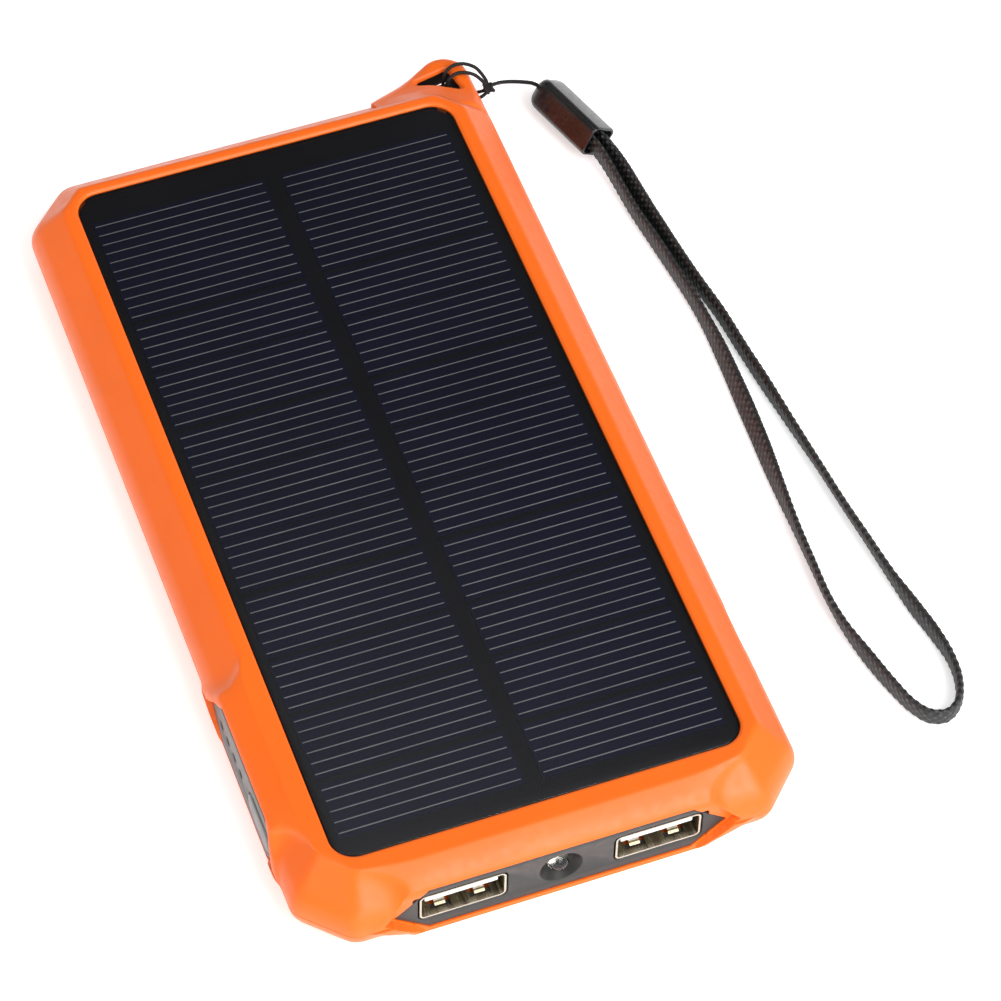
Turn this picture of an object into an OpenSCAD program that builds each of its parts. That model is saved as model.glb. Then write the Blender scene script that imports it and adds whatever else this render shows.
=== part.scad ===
// Solar phone charger: slim rugged power bank with a solar panel on top,
// two output sockets and a torch in the port end, a control strip on the
// left side, and a wrist strap tied to a lug at one back corner.
// Frame: origin on the rest plane under the middle of the case with its lug,
// +X to the right seen from the port end, +Y from the port end to the lug end,
// +Z up. Millimetres.

/* [Case] */
// Case width across the two side noses
case_w = 77.5; // [77.5:0.1:79]
// Case length between the front and back noses
case_l = 144.9; // [144.9:0.1:146]
// Case thickness from rest plane to panel rim
case_t = 15.2; // [15.2:0.1:15.6]
// Radius of the rounded nose that runs round the case
nose_r = 5.5; // [5.2:0.1:5.6]
// How far the lanyard lug stands out behind the back nose
lug_reach = 6.1; // [5.8:0.1:6.4]
// Thickness of the lanyard lug
lug_t = 3.3; // [2.8:0.1:3.4]

/* [Solar panel] */
// Panel opening width
panel_w = 62.6; // [62:0.1:62.8]
// Panel opening length
panel_l = 129.3; // [129:0.1:129.5]
// Corner radius of the panel opening
panel_r = 3.8; // [3:0.1:4.5]
// Depth of the panel face below the rim
panel_sink = 0.4; // [0.3:0.05:0.6]
// Spacing of the printed finger lines on the cells
finger_pitch = 1.915; // [1.9:0.005:1.93]
// Width of one printed finger line
finger_w = 0.22; // [0.15:0.01:0.3]

/* [Ports and controls] */
// Distance of each output socket from the centre line
port_x = 14.9; // [14.6:0.1:15.2]
// Outer width of an output socket shell
usb_w = 13.1; // [13:0.05:13.2]
// Outer height of an output socket shell
usb_h = 5.7; // [5.6:0.05:5.75]
// Length of the power button
button_l = 9.8; // [9:0.1:10]
// Height of the power button
button_h = 4.4; // [4:0.1:4.5]
// Diameter of the torch lens
torch_d = 3.4; // [3:0.1:3.5]

/* [Strap] */
// Diameter of the thin lanyard cord
cord_d = 0.6; // [0.5:0.05:0.65]
// Width of the flat braided wrist strap
strap_w = 3; // [2.6:0.1:3.2]
// Thickness of the flat braided wrist strap
strap_t = 1.8; // [1.6:0.1:1.9]

/* [Hidden] */
$fn = 48;
zm = case_t/2;                       // parting plane
front = -(case_l + lug_reach)/2;     // y of the front nose
back = front + case_l;               // y of the back nose
pf = front + 8.55;                   // y of the panel opening's front edge
pb = pf + panel_l;                   // y of the panel opening's back edge
yp = (pf + pb)/2;                    // y of the panel centre
hx = case_w/2;                       // half width
hp = panel_w/2;
face_y = pf - 7.4;                   // plane of the port face
face_x = -(hp + 7.05);               // plane of the control face
port_z = 8.0;                        // height of the output sockets
torch_z = 7.8;
ctl_y = pf + 21.6;                   // middle of the control strip
btn_y = pf + 14.2;                   // middle of the power button
led_y0 = pf + 23.1;                  // first indicator
led_p = 2.97;                        // indicator pitch
wall = 2.2;                          // bezel thickness
ceil_z = 11.7;                       // underside of the panel floor
floor_z = 1.8;                       // inside of the case floor
board_z = 3.95;                      // underside of the main board
board_t = 1.2;
bt = board_z + board_t;              // top of the main board
in_y = pf + 21.6;                    // middle of the charging input
dd = (hp + panel_l/2)/sqrt(2);       // panel's sharp corner, from its centre
e = 0.01;

orange = [1.0, 0.42, 0.10];
grey = [0.30, 0.30, 0.30];
steel = [0.75, 0.75, 0.73];
black = [0.08, 0.08, 0.09];
gold = [0.85, 0.66, 0.28];

// case screw positions
bosses = [[29, -64.6], [-29, -64.6], [30.8, -30.8], [-30.8, -30.8], [28, 61.2], [-28, 61.2]];
// board screw positions
studs = [[25.2, -57], [-25.2, -57], [24, -38.4], [-24, -38.4]];

// strap and cord routes
strap_route = [[53.1, 58.4, 3.4], [54.2, 55.0, 3.4], [54.7, 52.0, 3.2], [55.2, 47.5, 2.7], [55.8, 41.0, 2.1],
  [56.8, 34.0, 1.7], [57.6, 27.0, 1.6], [58.2, 21.0, 1.6], [58.5, 15.0, 1.6], [58.5, 8.0, 1.6], [58.2, 0, 1.6],
  [57.8, -8.0, 1.6], [57.2, -16.5, 1.6], [56.7, -25.0, 1.6], [56.4, -33.0, 1.6], [56.2, -40.0, 1.6],
  [56.6, -46.0, 1.6], [57.7, -52.0, 1.6], [59.2, -58.3, 1.6], [60.6, -62.4, 1.6], [62.4, -64.8, 1.6],
  [64.8, -65.4, 1.6], [67.2, -63.8, 1.6], [68.8, -60.3, 1.6], [69.3, -56.0, 1.6], [68.8, -51.0, 1.6],
  [67.8, -45.5, 1.6], [66.9, -39.5, 1.6], [66.1, -32.0, 1.6], [65.3, -25.0, 1.6], [64.5, -16.5, 1.6],
  [63.6, -8.0, 1.6], [62.7, 1.0, 1.6], [61.9, 9.0, 1.6], [61.2, 17.0, 1.6], [60.1, 24.5, 1.6],
  [59.2, 31.5, 1.7], [58.4, 38.5, 1.9], [57.8, 45.0, 2.4], [57.1, 51.0, 3.0], [56.0, 55.6, 3.4], [54.9, 58.9, 3.4]];
// lanyard loops round the bar of the lug, then the twin strands to the ferrule
loop_a = [[40.8, 68.7, 8.4], [40.6, 69.2, 9.2], [40.1, 69.8, 10.2], [39.3, 70.6, 11.2], [38.0, 71.5, 11.6], [36.6, 71.9, 11.7],
  [35.3, 71.7, 11.6], [34.3, 71.2, 11.2], [33.8, 70.8, 10.2], [33.7, 70.6, 9.2], [33.9, 70.5, 7.9], [34.6, 70.4, 6.9], [35.8, 70.2, 6.6],
  [37.4, 69.8, 6.6], [39.0, 69.2, 6.8], [40.3, 68.7, 7.4]];
loop_b = [[40.5, 68.4, 8.5], [40.1, 68.5, 9.3], [39.5, 68.7, 10.3], [38.5, 69.2, 11.3], [37.3, 69.8, 11.6], [36.1, 70.1, 11.6],
  [35.0, 69.9, 11.5], [34.2, 69.6, 10.9], [33.9, 69.5, 10.1], [33.9, 69.4, 9.2], [34.1, 69.3, 7.8], [34.8, 69.1, 6.9], [36.0, 68.7, 6.6],
  [37.4, 68.3, 6.6], [39.0, 67.9, 6.8], [40.3, 68.1, 7.4]];
// the spare of the cord, tucked into the eye
tuck = [[33.7, 70.9, 10.0], [32.8, 71.2, 9.9], [31.6, 71.0, 9.8], [30.4, 70.6, 9.4], [29.8, 70.3, 8.7], [30.6, 70.0, 8.1], [32.0, 69.5, 8.0],
  [33.4, 69.0, 8.4], [34.2, 68.7, 9.2], [33.4, 69.0, 9.9], [32.2, 69.6, 10.1], [31.2, 70.1, 9.9], [30.8, 70.4, 9.1], [31.8, 70.5, 8.4], [33.0, 70.3, 8.5]];
tail_a = [[40.9, 68.5, 8.4], [42.9, 68.8, 8.2], [44.5, 69.1, 7.5], [46.1, 69.4, 6.6], [47.6, 69.7, 5.6],
  [48.9, 69.8, 4.8], [49.9, 69.4, 4.2], [50.5, 68.4, 3.9], [51.0, 66.7, 3.9]];
tail_b = [[40.9, 68.4, 7.5], [42.9, 68.7, 7.3], [44.5, 69.0, 6.6], [46.1, 69.2, 5.7], [47.6, 69.5, 4.7],
  [48.9, 69.6, 3.8], [49.9, 69.2, 3.2], [50.5, 68.2, 3.0], [51.0, 66.5, 3.0]];
// ferrule axis, from the cord end to the open mouth
fa = [50.5, 69.2, 3.4];
fb = [55.1, 55.3, 3.4];

// ---------- helpers ----------
// tangent point from the rim edge [p, h] to the nose circle centred [c, 0]
function tang(p, c, r, h) = let (d = [c - p, -h], l = norm(d),
  a = atan2(d[1], d[0]) + asin(r/l), t = sqrt(l*l - r*r)) [p + t*cos(a), h + t*sin(a)];

// nose section: negative end first (nose centre, rim edge), then positive end
module section(na, ra, nb, rb) {
  ta = tang(ra, na, nose_r, zm);
  tb = tang(rb, nb, nose_r, zm);
  polygon([[-ra, case_t], [rb, case_t], [tb[0], zm + tb[1]], [tb[0], zm - tb[1]], [rb, 0], [-ra, 0],
    [-ta[0], zm - ta[1]], [-ta[0], zm + ta[1]]]);
  translate([-na, zm]) circle(nose_r);
  translate([nb, zm]) circle(nose_r);
}

// eight-sided case body, the nose section carried round all sides
module body() {
  sx = hx - nose_r;
  intersection() {
    rotate([90, 0, 0]) linear_extrude(200, center = true) section(sx, sx + 0.18, sx, sx + 0.18);
    rotate([90, 0, 90]) linear_extrude(120, center = true)
      section(-(front + nose_r), -(pf - 2.0), back - nose_r, pb + 1.7);
    translate([0, yp, 0]) rotate([0, 0, 45]) rotate([90, 0, 0]) linear_extrude(240, center = true)
      section(dd + 0.84, dd + 0.07, dd - 0.28, dd + 0.07);
    translate([0, yp, 0]) rotate([0, 0, -45]) rotate([90, 0, 0]) linear_extrude(240, center = true)
      section(dd - 0.28, dd + 0.07, dd + 0.84, dd + 0.07);
  }
}

// polygon with each corner of a convex outline rounded to radius r
function unit(v) = v/norm(v);
function corner(pts, i, r) = let (n = len(pts), p = pts[i], a = unit(pts[(i + n - 1)%n] - p),
  b = unit(pts[(i + 1)%n] - p), h = acos(a*b)/2) [p + a*r/tan(h), p + unit(a + b)*r/sin(h), p + b*r/tan(h)];
module rounded(pts, r) {
  cs = [for (i = [0:len(pts) - 1]) corner(pts, i, r)];
  polygon([for (c = cs) for (k = [0, 2]) c[k]]);
  for (c = cs) translate(c[1]) circle(r);
}
function box_pts(w, l) = [[-w/2, -l/2], [w/2, -l/2], [w/2, l/2], [-w/2, l/2]];
function hexa(hl, hf, hh) = [[-hl, 0], [-hf, -hh], [hf, -hh], [hl, 0], [hf, hh], [-hf, hh]];
module slot2(l, h) {
  square([l - h, h], center = true);
  for (s = [-1, 1]) translate([s*(l - h)/2, 0]) circle(h/2);
}

// extrude a [x, z] outline into +Y from y0 to y1
module along_y(y0, y1) translate([0, y1, 0]) rotate([90, 0, 0]) linear_extrude(y1 - y0) children();
// extrude a [y, z] outline into +X from x0 to x1
module along_x(x0, x1) translate([x0, 0, 0]) rotate([90, 0, 90]) linear_extrude(x1 - x0) children();

// eight-sided inner plan about the panel centre
module inner_plan(w, y0, y1, s) {
  intersection() {
    translate([-w, y0]) square([2*w, y1 - y0]);
    translate([0, yp]) rotate(45) square([s*sqrt(2), s*sqrt(2)], center = true);
  }
}

// raised land behind the port bezel
module front_land() {
  intersection() {
    along_x(-40, 40) polygon([[pf - 2, case_t], [pf - 5.4, case_t - 0.95], [pf - 6.5, case_t - 1.6],
      [pf - 7.15, case_t - 2.2], [face_y, case_t - 2.75], [face_y, 2.75], [pf - 7.15, 2.2], [pf - 6.5, 1.6],
      [pf - 5.4, 0.95], [pf - 2, 0], [pf + 3, 0], [pf + 3, case_t]]);
    along_y(front - 1, pf + 4) polygon([[-26.6, zm], [-20.8, 13], [-23.6, case_t], [23.6, case_t], [20.8, 13],
      [26.6, zm], [20.8, case_t - 13], [23.6, 0], [-23.6, 0], [-20.8, case_t - 13]]);
  }
}
// raised land behind the control bezel
module side_land() {
  x0 = -hx + nose_r - 0.18;
  intersection() {
    along_y(-90, 90) polygon([[x0, case_t], [face_x + 2.2, case_t - 0.95], [face_x + 0.9, case_t - 1.65],
      [face_x + 0.25, case_t - 2.25], [face_x, case_t - 2.75], [face_x, 2.75], [face_x + 0.25, 2.25],
      [face_x + 0.9, 1.65], [face_x + 2.2, 0.95], [x0, 0], [x0 + 4, 0], [x0 + 4, case_t]]);
    translate([0, ctl_y, 0]) along_x(-hx - 1, -hx + 12) polygon([[-16, zm], [-10.6, 13], [-13, case_t],
      [13, case_t], [10.6, 13], [16, zm], [10.6, case_t - 13], [13, 0], [-13, 0], [-10.6, case_t - 13]]);
  }
}
module outer() {
  difference() {
    union() { body(); front_land(); side_land(); }
    // flat faces cut across the nose for the two bezels
    along_y(front - 1, face_y) polygon([for (p = hexa(25.9, 20.6, 5.4)) [p[0], p[1] + zm]]);
    translate([0, ctl_y, 0]) along_x(-hx - 1, face_x) polygon([for (p = hexa(15.4, 10.4, 5.4)) [p[0], p[1] + zm]]);
  }
}
module cavity() {
  translate([0, 0, 3.6]) linear_extrude(ceil_z - 3.6) inner_plan(35, face_y + 3.5, back - 4.1, 98.1);
  translate([0, 0, floor_z]) linear_extrude(2) inner_plan(33, pf - 1.6, back - 6.4, 95.5);
}
// openings through the walls shared by both shells
module wall_cuts() {
  // port bezel pocket and the window behind it
  along_y(face_y - e, face_y + wall) polygon([for (p = hexa(25.5, 20.1, 4.95)) [p[0], p[1] + zm]]);
  along_y(face_y, face_y + 4) translate([-22.6, 4.4]) square([45.2, 6.9]);
  // control bezel pocket and the windows behind it
  translate([0, ctl_y, 0]) along_x(face_x - e, face_x + wall)
    polygon([for (p = hexa(15, 10, 4.95)) [p[0], p[1] + zm]]);
  translate([0, btn_y, 0]) along_x(face_x, face_x + 4) translate([-6.2, zm - 3.5]) square([12.4, 7]);
  translate([0, led_y0 + 1.5*led_p, 0]) along_x(face_x, face_x + 4) translate([-6.6, zm - 1.7]) square([13.2, 3.4]);
  // charging input: plug recess and socket window
  translate([0, in_y, 0]) along_x(37.2, 45) translate([0, bt + 1.3]) slot2(12.4, 7.6);
  translate([0, in_y, 0]) along_x(34, 45) translate([-4, bt - 0.25]) square([8, 3.1]);
}

// ---------- casing ----------
// lanyard lug at the back right corner
module lug() {
  c = [hx - 4.75, back + lug_reach - 4.4];
  n = [-0.517, 0.856];
  difference() {
    translate([0, 0, zm]) linear_extrude(lug_t) {
      polygon([[c[0] + 4.4, 60], c + [4.4, 0], c + 4.4*n, c + 4.4*n - 14*[0.856, 0.517], [20, 60]]);
      translate(c) circle(4.4);
    }
    // eye: rounded three-sided slot
    translate([0, 0, zm - 1]) linear_extrude(lug_t + 2)
      rounded([[c[0] - 5.8, c[1] - 0.5], [c[0] + 1.6, c[1] - 3.8], [c[0] + 0.7, c[1] + 1.2]], 0.7);
    // cord-side softening of the top edge
    translate([0, 0, zm + lug_t - 0.8]) linear_extrude(2) difference() {
      translate([c[0] - 30, 50]) square([60, 40]);
      translate([0, -0.8]) union() {
        polygon([[c[0] + 3.6, 40], c + [3.6, 0.8], c + 3.6*n + [0, 0.8], c + 3.6*n - 30*[0.856, 0.517] + [0, 0.8], [-10, 40]]);
        translate(c + [0, 0.8]) circle(3.6);
      }
    }
  }
}
module eye_cut() {
  c = [hx - 4.75, back + lug_reach - 4.4];
  translate([0, 0, zm - 1]) linear_extrude(case_t)
    rounded([[c[0] - 5.8, c[1] - 0.5], [c[0] + 1.6, c[1] - 3.8], [c[0] + 0.7, c[1] + 1.2]], 0.7);
}
module top_shell() {
  color(orange) difference() {
    union() {
      difference() {
        intersection() {
          outer();
          translate([-60, -100, zm]) cube([120, 200, 20]);
        }
        cavity();
      }
      lug();
      intersection() {
        translate([0, 0, zm]) linear_extrude(ceil_z - zm + 0.5) for (b = bosses) translate(b) circle(2.6);
        outer();
      }
    }
    wall_cuts();
    eye_cut();
    // panel recess with a softened rim edge
    translate([0, yp, ceil_z + 1.1]) linear_extrude(5) rounded(box_pts(panel_w, panel_l), panel_r);
    rim_soften();
    // wire slot below the panel
    translate([12, -40, ceil_z - 1]) linear_extrude(4) slot2(9, 4);
    // pilot holes
    for (b = bosses) translate([b[0], b[1], zm - e]) cylinder(h = 3.3, r = 1.02);
  }
}
// 0.5 mm bevel round the panel opening
module rim_soften() {
  s = 0.5;
  lx = panel_w/2;
  ly = panel_l/2;
  translate([0, yp, 0]) {
    translate([0, 0, case_t - s]) {
      along_y(-(ly - panel_r), ly - panel_r) polygon([[-lx, 0], [lx, 0], [lx + s + e, s + e], [-lx - s - e, s + e]]);
      along_x(-(lx - panel_r), lx - panel_r) polygon([[-ly, 0], [ly, 0], [ly + s + e, s + e], [-ly - s - e, s + e]]);
      for (sx = [-1, 1], sy = [-1, 1]) translate([sx*(lx - panel_r), sy*(ly - panel_r), 0])
        cylinder(h = s + e, r1 = panel_r, r2 = panel_r + s + e);
    }
  }
}
module bottom_shell() {
  color(orange) difference() {
    union() {
      difference() {
        intersection() {
          outer();
          translate([-60, -100, -1]) cube([120, 200, zm + 1]);
        }
        cavity();
      }
      intersection() {
        union() {
          for (b = bosses) translate([b[0], b[1], 1]) cylinder(h = zm - 1, r = 2.6);
          for (b = studs) translate([b[0], b[1], 1]) cylinder(h = board_z - 1, r = 2.2);
          // ribs that fence the battery
          for (s = [-1, 1]) translate([s*18 - 5, 57.3, 1]) cube([10, 1.2, 4]);
          translate([-10, -29.0, 1]) cube([20, 1.2, 3.4]);
        }
        outer();
      }
    }
    wall_cuts();
    for (b = bosses) {
      translate([b[0], b[1], -e]) cylinder(h = 20, r = 1.2);
      translate([b[0], b[1], -e]) cylinder(h = 1.9 + e, r = 2.1);
    }
    for (b = studs) translate([b[0], b[1], floor_z]) cylinder(h = 10, r = 0.82);
  }
}
module port_bezel() {
  color(grey) difference() {
    along_y(face_y + 0.1, face_y + wall) polygon([for (p = hexa(25.34, 20.05, 4.83)) [p[0], p[1] + zm]]);
    for (s = [-1, 1]) translate([s*port_x, 0, 0]) along_y(face_y - 1, face_y + 4)
      translate([0, port_z]) rounded(box_pts(usb_w + 0.5, usb_h + 0.5), 1.1);
    // flared torch recess
    translate([0, face_y + 0.1 - e, torch_z]) rotate([-90, 0, 0]) cylinder(h = 1.6, r1 = 3.25, r2 = 2.1);
    translate([0, face_y, torch_z]) rotate([-90, 0, 0]) cylinder(h = 4, r = torch_d/2 + 0.15);
  }
}
module control_bezel() {
  color(grey) difference() {
    translate([0, ctl_y, 0]) along_x(face_x + 0.05, face_x + wall)
      polygon([for (p = hexa(14.84, 9.95, 4.83)) [p[0], p[1] + zm]]);
    translate([0, btn_y, 0]) along_x(face_x - 1, face_x + 4) translate([0, zm]) slot2(button_l + 0.5, button_h + 0.5);
    for (i = [0:3]) translate([face_x - 1, led_y0 + i*led_p, zm]) rotate([0, 90, 0]) cylinder(h = 5, r = 0.8);
  }
}

// ---------- controls ----------
module power_button() {
  color([0.62, 0.62, 0.60]) translate([0, btn_y, 0]) {
    along_x(face_x - 0.3, face_x + 2.5) translate([0, zm]) slot2(button_l, button_h);
    along_x(face_x + 2.5, face_x + 3.1) translate([0, zm]) slot2(button_l + 1.8, button_h + 1.8);
    along_x(face_x + 3.1, face_x + 3.75) translate([0, zm]) circle(1.5);
  }
}
module switch_plunger() {
  color(black) translate([face_x + 3.75, btn_y, zm]) rotate([0, 90, 0]) cylinder(h = 2.2, r = 1.2);
}
module tact_switch() {
  color([0.2, 0.2, 0.22]) difference() {
    translate([-33, btn_y - 3, bt]) cube([3.6, 6, 5]);
    translate([-34, btn_y, zm]) rotate([0, 90, 0]) cylinder(h = 3.4, r = 1.26);
  }
}
module light_pipe() {
  color([0.85, 0.9, 0.92, 0.6]) {
    translate([-35.2, led_y0 - 1.3, zm - 1]) cube([0.9, 3*led_p + 2.6, 2]);
    for (i = [0:3]) translate([face_x + 0.2, led_y0 + i*led_p, zm]) rotate([0, 90, 0])
      cylinder(h = -35.2 - face_x - 0.2 + e, r = 0.72);
  }
}
module indicator_leds() {
  color([0.95, 0.95, 0.9]) for (i = [0:3]) translate([-34.1, led_y0 + i*led_p - 0.9, bt]) difference() {
    cube([1.6, 1.8, 3.4]);
    translate([-e, 0.35, 1.6]) cube([0.4, 1.1, 1.5]);
  }
}
module torch_led() {
  color([0.9, 0.92, 0.95, 0.7]) translate([0, face_y, torch_z]) rotate([-90, 0, 0]) {
    translate([0, 0, 2.2]) cylinder(h = 3.4, r = torch_d/2);
    translate([0, 0, 2.2]) intersection() { sphere(torch_d/2); translate([-4, -4, -4]) cube([8, 8, 4 + e]); }
    translate([0, 0, 4.6]) cylinder(h = 1, r = torch_d/2 + 0.35);
  }
}
module torch_led_legs() {
  color(steel) for (s = [-1, 1]) {
    translate([s*1.27 - 0.25, face_y + 5.6, torch_z - 0.25]) cube([0.5, 2.5, 0.5]);
    translate([s*1.27 - 0.25, face_y + 7.6, bt]) cube([0.5, 0.5, torch_z + 0.25 - bt]);
  }
}

// ---------- sockets ----------
module usb_shell(x) {
  y0 = face_y + 0.15;
  translate([x, 0, port_z]) color(steel) {
    difference() {
      along_y(y0, y0 + 14) rounded(box_pts(usb_w, usb_h), 0.9);
      along_y(y0 - 1, y0 + 13.7) rounded(box_pts(usb_w - 0.6, usb_h - 0.6), 0.6);
      // windows round the four grip springs
      for (s = [-1, 1], t = [-1, 1]) translate([s*3 - 1.55, y0 + 0.95, t*(usb_h/2 - 0.15) - 0.4]) cube([3.1, 6.05, 0.8]);
    }
    // grip springs
    for (s = [-1, 1], t = [-1, 1]) translate([s*3 - 0.8, 0, 0]) along_x(0, 1.6)
      polygon([for (q = [[y0 + 7.3, 2.85], [y0 + 7.3, 2.55], [y0 + 3.3, 2.08], [y0 + 2.3, 2.08], [y0 + 1.6, 2.28], [y0 + 1.25, 2.5], [y0 + 1.4, 2.66],
        [y0 + 1.8, 2.48], [y0 + 2.4, 2.32], [y0 + 3.3, 2.32], [y0 + 6.8, 2.85]]) [q[0], t*q[1]*usb_h/5.7]]);
  }
}
module usb_tongue(x) {
  y0 = face_y + 0.15;
  color([0.93, 0.93, 0.9]) translate([x, 0, port_z]) difference() {
    union() {
      translate([-5.55, y0 + 0.5, 0.25]) cube([11.1, 9.7, 1.7]);
      along_y(y0 + 10, y0 + 13.6) rounded(box_pts(12.3, 4.9), 0.8);
    }
    for (i = [0:3]) translate([[-3.5, -1, 1, 3.5][i] - 0.5, y0 + 1, 0.25 - e]) cube([1, 12.9, 0.3]);
  }
}
module usb_contacts(x) {
  y0 = face_y + 0.15;
  color(gold) translate([x, 0, port_z]) for (i = [0:3]) translate([[-3.5, -1, 1, 3.5][i] - 0.45, 0, 0]) {
    translate([0, y0 + 1.1, 0.25]) cube([0.9, 12.6, 0.25]);
  }
}
module usb_left_shell() usb_shell(-port_x);
module usb_left_tongue() usb_tongue(-port_x);
module usb_left_contacts() usb_contacts(-port_x);
module usb_right_shell() usb_shell(port_x);
module usb_right_tongue() usb_tongue(port_x);
module usb_right_contacts() usb_contacts(port_x);

module micro_usb_shell() {
  color(steel) translate([0, in_y, bt + 0.05]) difference() {
    along_x(31.4, 37) polygon([[-3.1, 0], [3.1, 0], [3.75, 0.9], [3.75, 2.6], [-3.75, 2.6], [-3.75, 0.9]]);
    along_x(31.7, 38) polygon([[-2.95, 0.25], [2.95, 0.25], [3.5, 1.0], [3.5, 2.35], [-3.5, 2.35], [-3.5, 1.0]]);
  }
}
module micro_usb_tongue() {
  color(black) translate([0, in_y, bt + 0.05]) {
    translate([31.7, -3.4, 1.0]) cube([1.4, 6.8, 1.3]);
    translate([33, -1.8, 1.35]) cube([3, 3.6, 0.6]);
  }
}
module micro_usb_contacts() {
  color(gold) translate([0, in_y, bt + 0.05]) for (i = [-2:2]) translate([33.3, i*0.65 - 0.16, 1.2]) cube([2.5, 0.32, 0.15]);
}

// ---------- board ----------
module main_board() {
  color([0.06, 0.32, 0.16]) difference() {
    translate([0, 0, board_z]) linear_extrude(board_t) difference() {
      inner_plan(34, face_y + 4, -34.6, 97.2);
      for (b = bosses) translate(b) circle(3);
    }
    for (b = studs) translate([b[0], b[1], 0]) cylinder(h = 20, r = 1.15);
  }
}
module board_screws() {
  color(steel) for (b = studs) translate([b[0], b[1], 0]) difference() {
    union() {
      translate([0, 0, bt]) cylinder(h = 1, r = 1.8);
      translate([0, 0, bt - 2.9]) cylinder(h = 2.9 + e, r = 0.8);
    }
    for (a = [0, 90]) rotate(a) translate([-1, -0.2, bt + 0.5]) cube([2, 0.4, 1]);
  }
}
module power_inductor() {
  color([0.25, 0.25, 0.27]) translate([0, -48, bt]) {
    linear_extrude(3.6) rounded(box_pts(8, 8), 1.2);
    cylinder(h = 4.4, r = 3.4);
  }
}
module buffer_capacitors() {
  color([0.7, 0.72, 0.75]) for (p = [[-10.5, -48], [10.5, -48], [17.5, -49]]) translate([p[0], p[1], bt]) {
    cylinder(h = 5.6, r = 3);
  }
}
module control_chips() {
  color(black) for (p = [[-13, -38.5, 6, 4], [3, -39, 5, 4], [19, -41, 4, 5], [-22, -49, 4, 4], [24.5, -50.5, 4, 5]])
    translate([p[0] - p[2]/2, p[1] - p[3]/2, bt]) cube([p[2], p[3], 1.5]);
}

// ---------- battery ----------
module cell(s) {
  color([0.72, 0.74, 0.77]) translate([s*16.2, 15, 2.3]) {
    linear_extrude(7.8) rounded(box_pts(31.4, 84), 2);
  }
}
module battery_cell_left() cell(-1);
module battery_cell_right() cell(1);
module battery_pads() {
  color([0.9, 0.9, 0.88]) for (s = [-1, 1], y = [-14, 16, 46]) translate([s*16.2 - 10, y - 6, floor_z]) cube([20, 12, 0.5]);
}
module battery_protection_board() {
  color([0.1, 0.35, 0.2]) translate([-14, -33.6, 6.6]) cube([28, 5.6, 0.8]);
}

// plain tube through hand-chosen points, eight-sided
function ring(p, t, w, h, up, n) = let (s = unit(cross(t, up)), u = unit(cross(s, t)))
  [for (i = [0:n - 1]) p + s*cos(i*360/n)*w/2 + u*sin(i*360/n)*h/2];
module tube(pts, w, h, up = [0, 0, 1], n = 8) {
  m = len(pts);
  tg = [for (i = [0:m - 1]) unit(pts[min(i + 1, m - 1)] - pts[max(i - 1, 0)])];
  verts = [for (i = [0:m - 1]) for (v = ring(pts[i], tg[i], w, h, up, n)) v];
  polyhedron(verts, concat([[for (i = [0:n - 1]) i]], [[for (i = [n - 1:-1:0]) (m - 1)*n + i]],
    [for (j = [0:m - 2]) for (i = [0:n - 1]) for (k = [0, 1]) k == 0
      ? [j*n + i, (j + 1)*n + i, (j + 1)*n + (i + 1)%n]
      : [j*n + i, (j + 1)*n + (i + 1)%n, j*n + (i + 1)%n]]), convexity = 8);
}
function lead(x, y0, z0, y1, z1) = [[x, y0, z0], [x, y0, z0 + 1.2], [x, (3*y0 + y1)/4, z0 + 2.2],
  [x, (y0 + y1)/2, z0 + 2.4], [x, (y0 + 3*y1)/4, (z0 + 2.2)], [x, y1, z1 + 1.6], [x, y1, z1]];
module battery_lead_red() color([0.8, 0.1, 0.1]) tube(lead(-3, -30.8, 7.4, -36.2, bt), 1.2, 1.2, [1, 0, 0]);
module battery_lead_black() color(black) tube(lead(8, -30.8, 7.4, -36.2, bt), 1.2, 1.2, [1, 0, 0]);
function drop(x) = [[x, -40, 13.1], [x, -40, 11.4], [x, -40.3, 9.8], [x, -40.9, 8.2], [x, -41.2, 6.6], [x, -41.2, bt]];
module solar_lead_red() color([0.8, 0.1, 0.1]) tube(drop(10.4), 1.1, 1.1, [1, 0, 0]);
module solar_lead_black() color(black) tube(drop(13.6), 1.1, 1.1, [1, 0, 0]);

// ---------- solar panel ----------
zb = case_t - panel_sink - 1.7;      // underside of the backplate
module panel_plan(g) rounded(box_pts(panel_w - 2*g, panel_l - 2*g), panel_r - g);
module solar_backplate() color([0.1, 0.1, 0.1]) translate([0, yp, zb]) linear_extrude(0.8) panel_plan(0.15);
module panel_adhesive() {
  color([0.95, 0.95, 0.9]) translate([0, yp, ceil_z + 1.1]) linear_extrude(zb - ceil_z - 1.1) difference() {
    panel_plan(1);
    panel_plan(3);
    for (y = [-1]) translate([12, -40 - yp]) slot2(10, 5);
  }
}
// finger groups from the lug end: number of lines and y of the first line from the panel's front edge
groups = [[6, 123.2], [5, 111.7], [5, 101.4], [6, 91.5], [5, 79.2], [6, 69.3], [5, 57.6], [6, 47.1], [5, 35.1], [6, 24.95], [5, 12.55]];
module solar_cells() {
  color([0.08, 0.09, 0.16]) for (g = groups, s = [-1, 1]) {
    y1 = pf + g[1] + 0.93;
    y0 = pf + g[1] - (g[0] - 1)*finger_pitch - 0.93;
    translate([s > 0 ? 1.3 : -29.6, y0, zb + 0.8]) cube([28.3, y1 - y0, 0.2]);
  }
}
module cell_fingers() {
  color([0.55, 0.56, 0.58]) for (g = groups, s = [-1, 1], i = [0:g[0] - 1])
    translate([s > 0 ? 1.65 : -29.35, pf + g[1] - i*finger_pitch - finger_w/2, zb + 1.0]) cube([27.5, finger_w, 0.05]);
}
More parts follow.
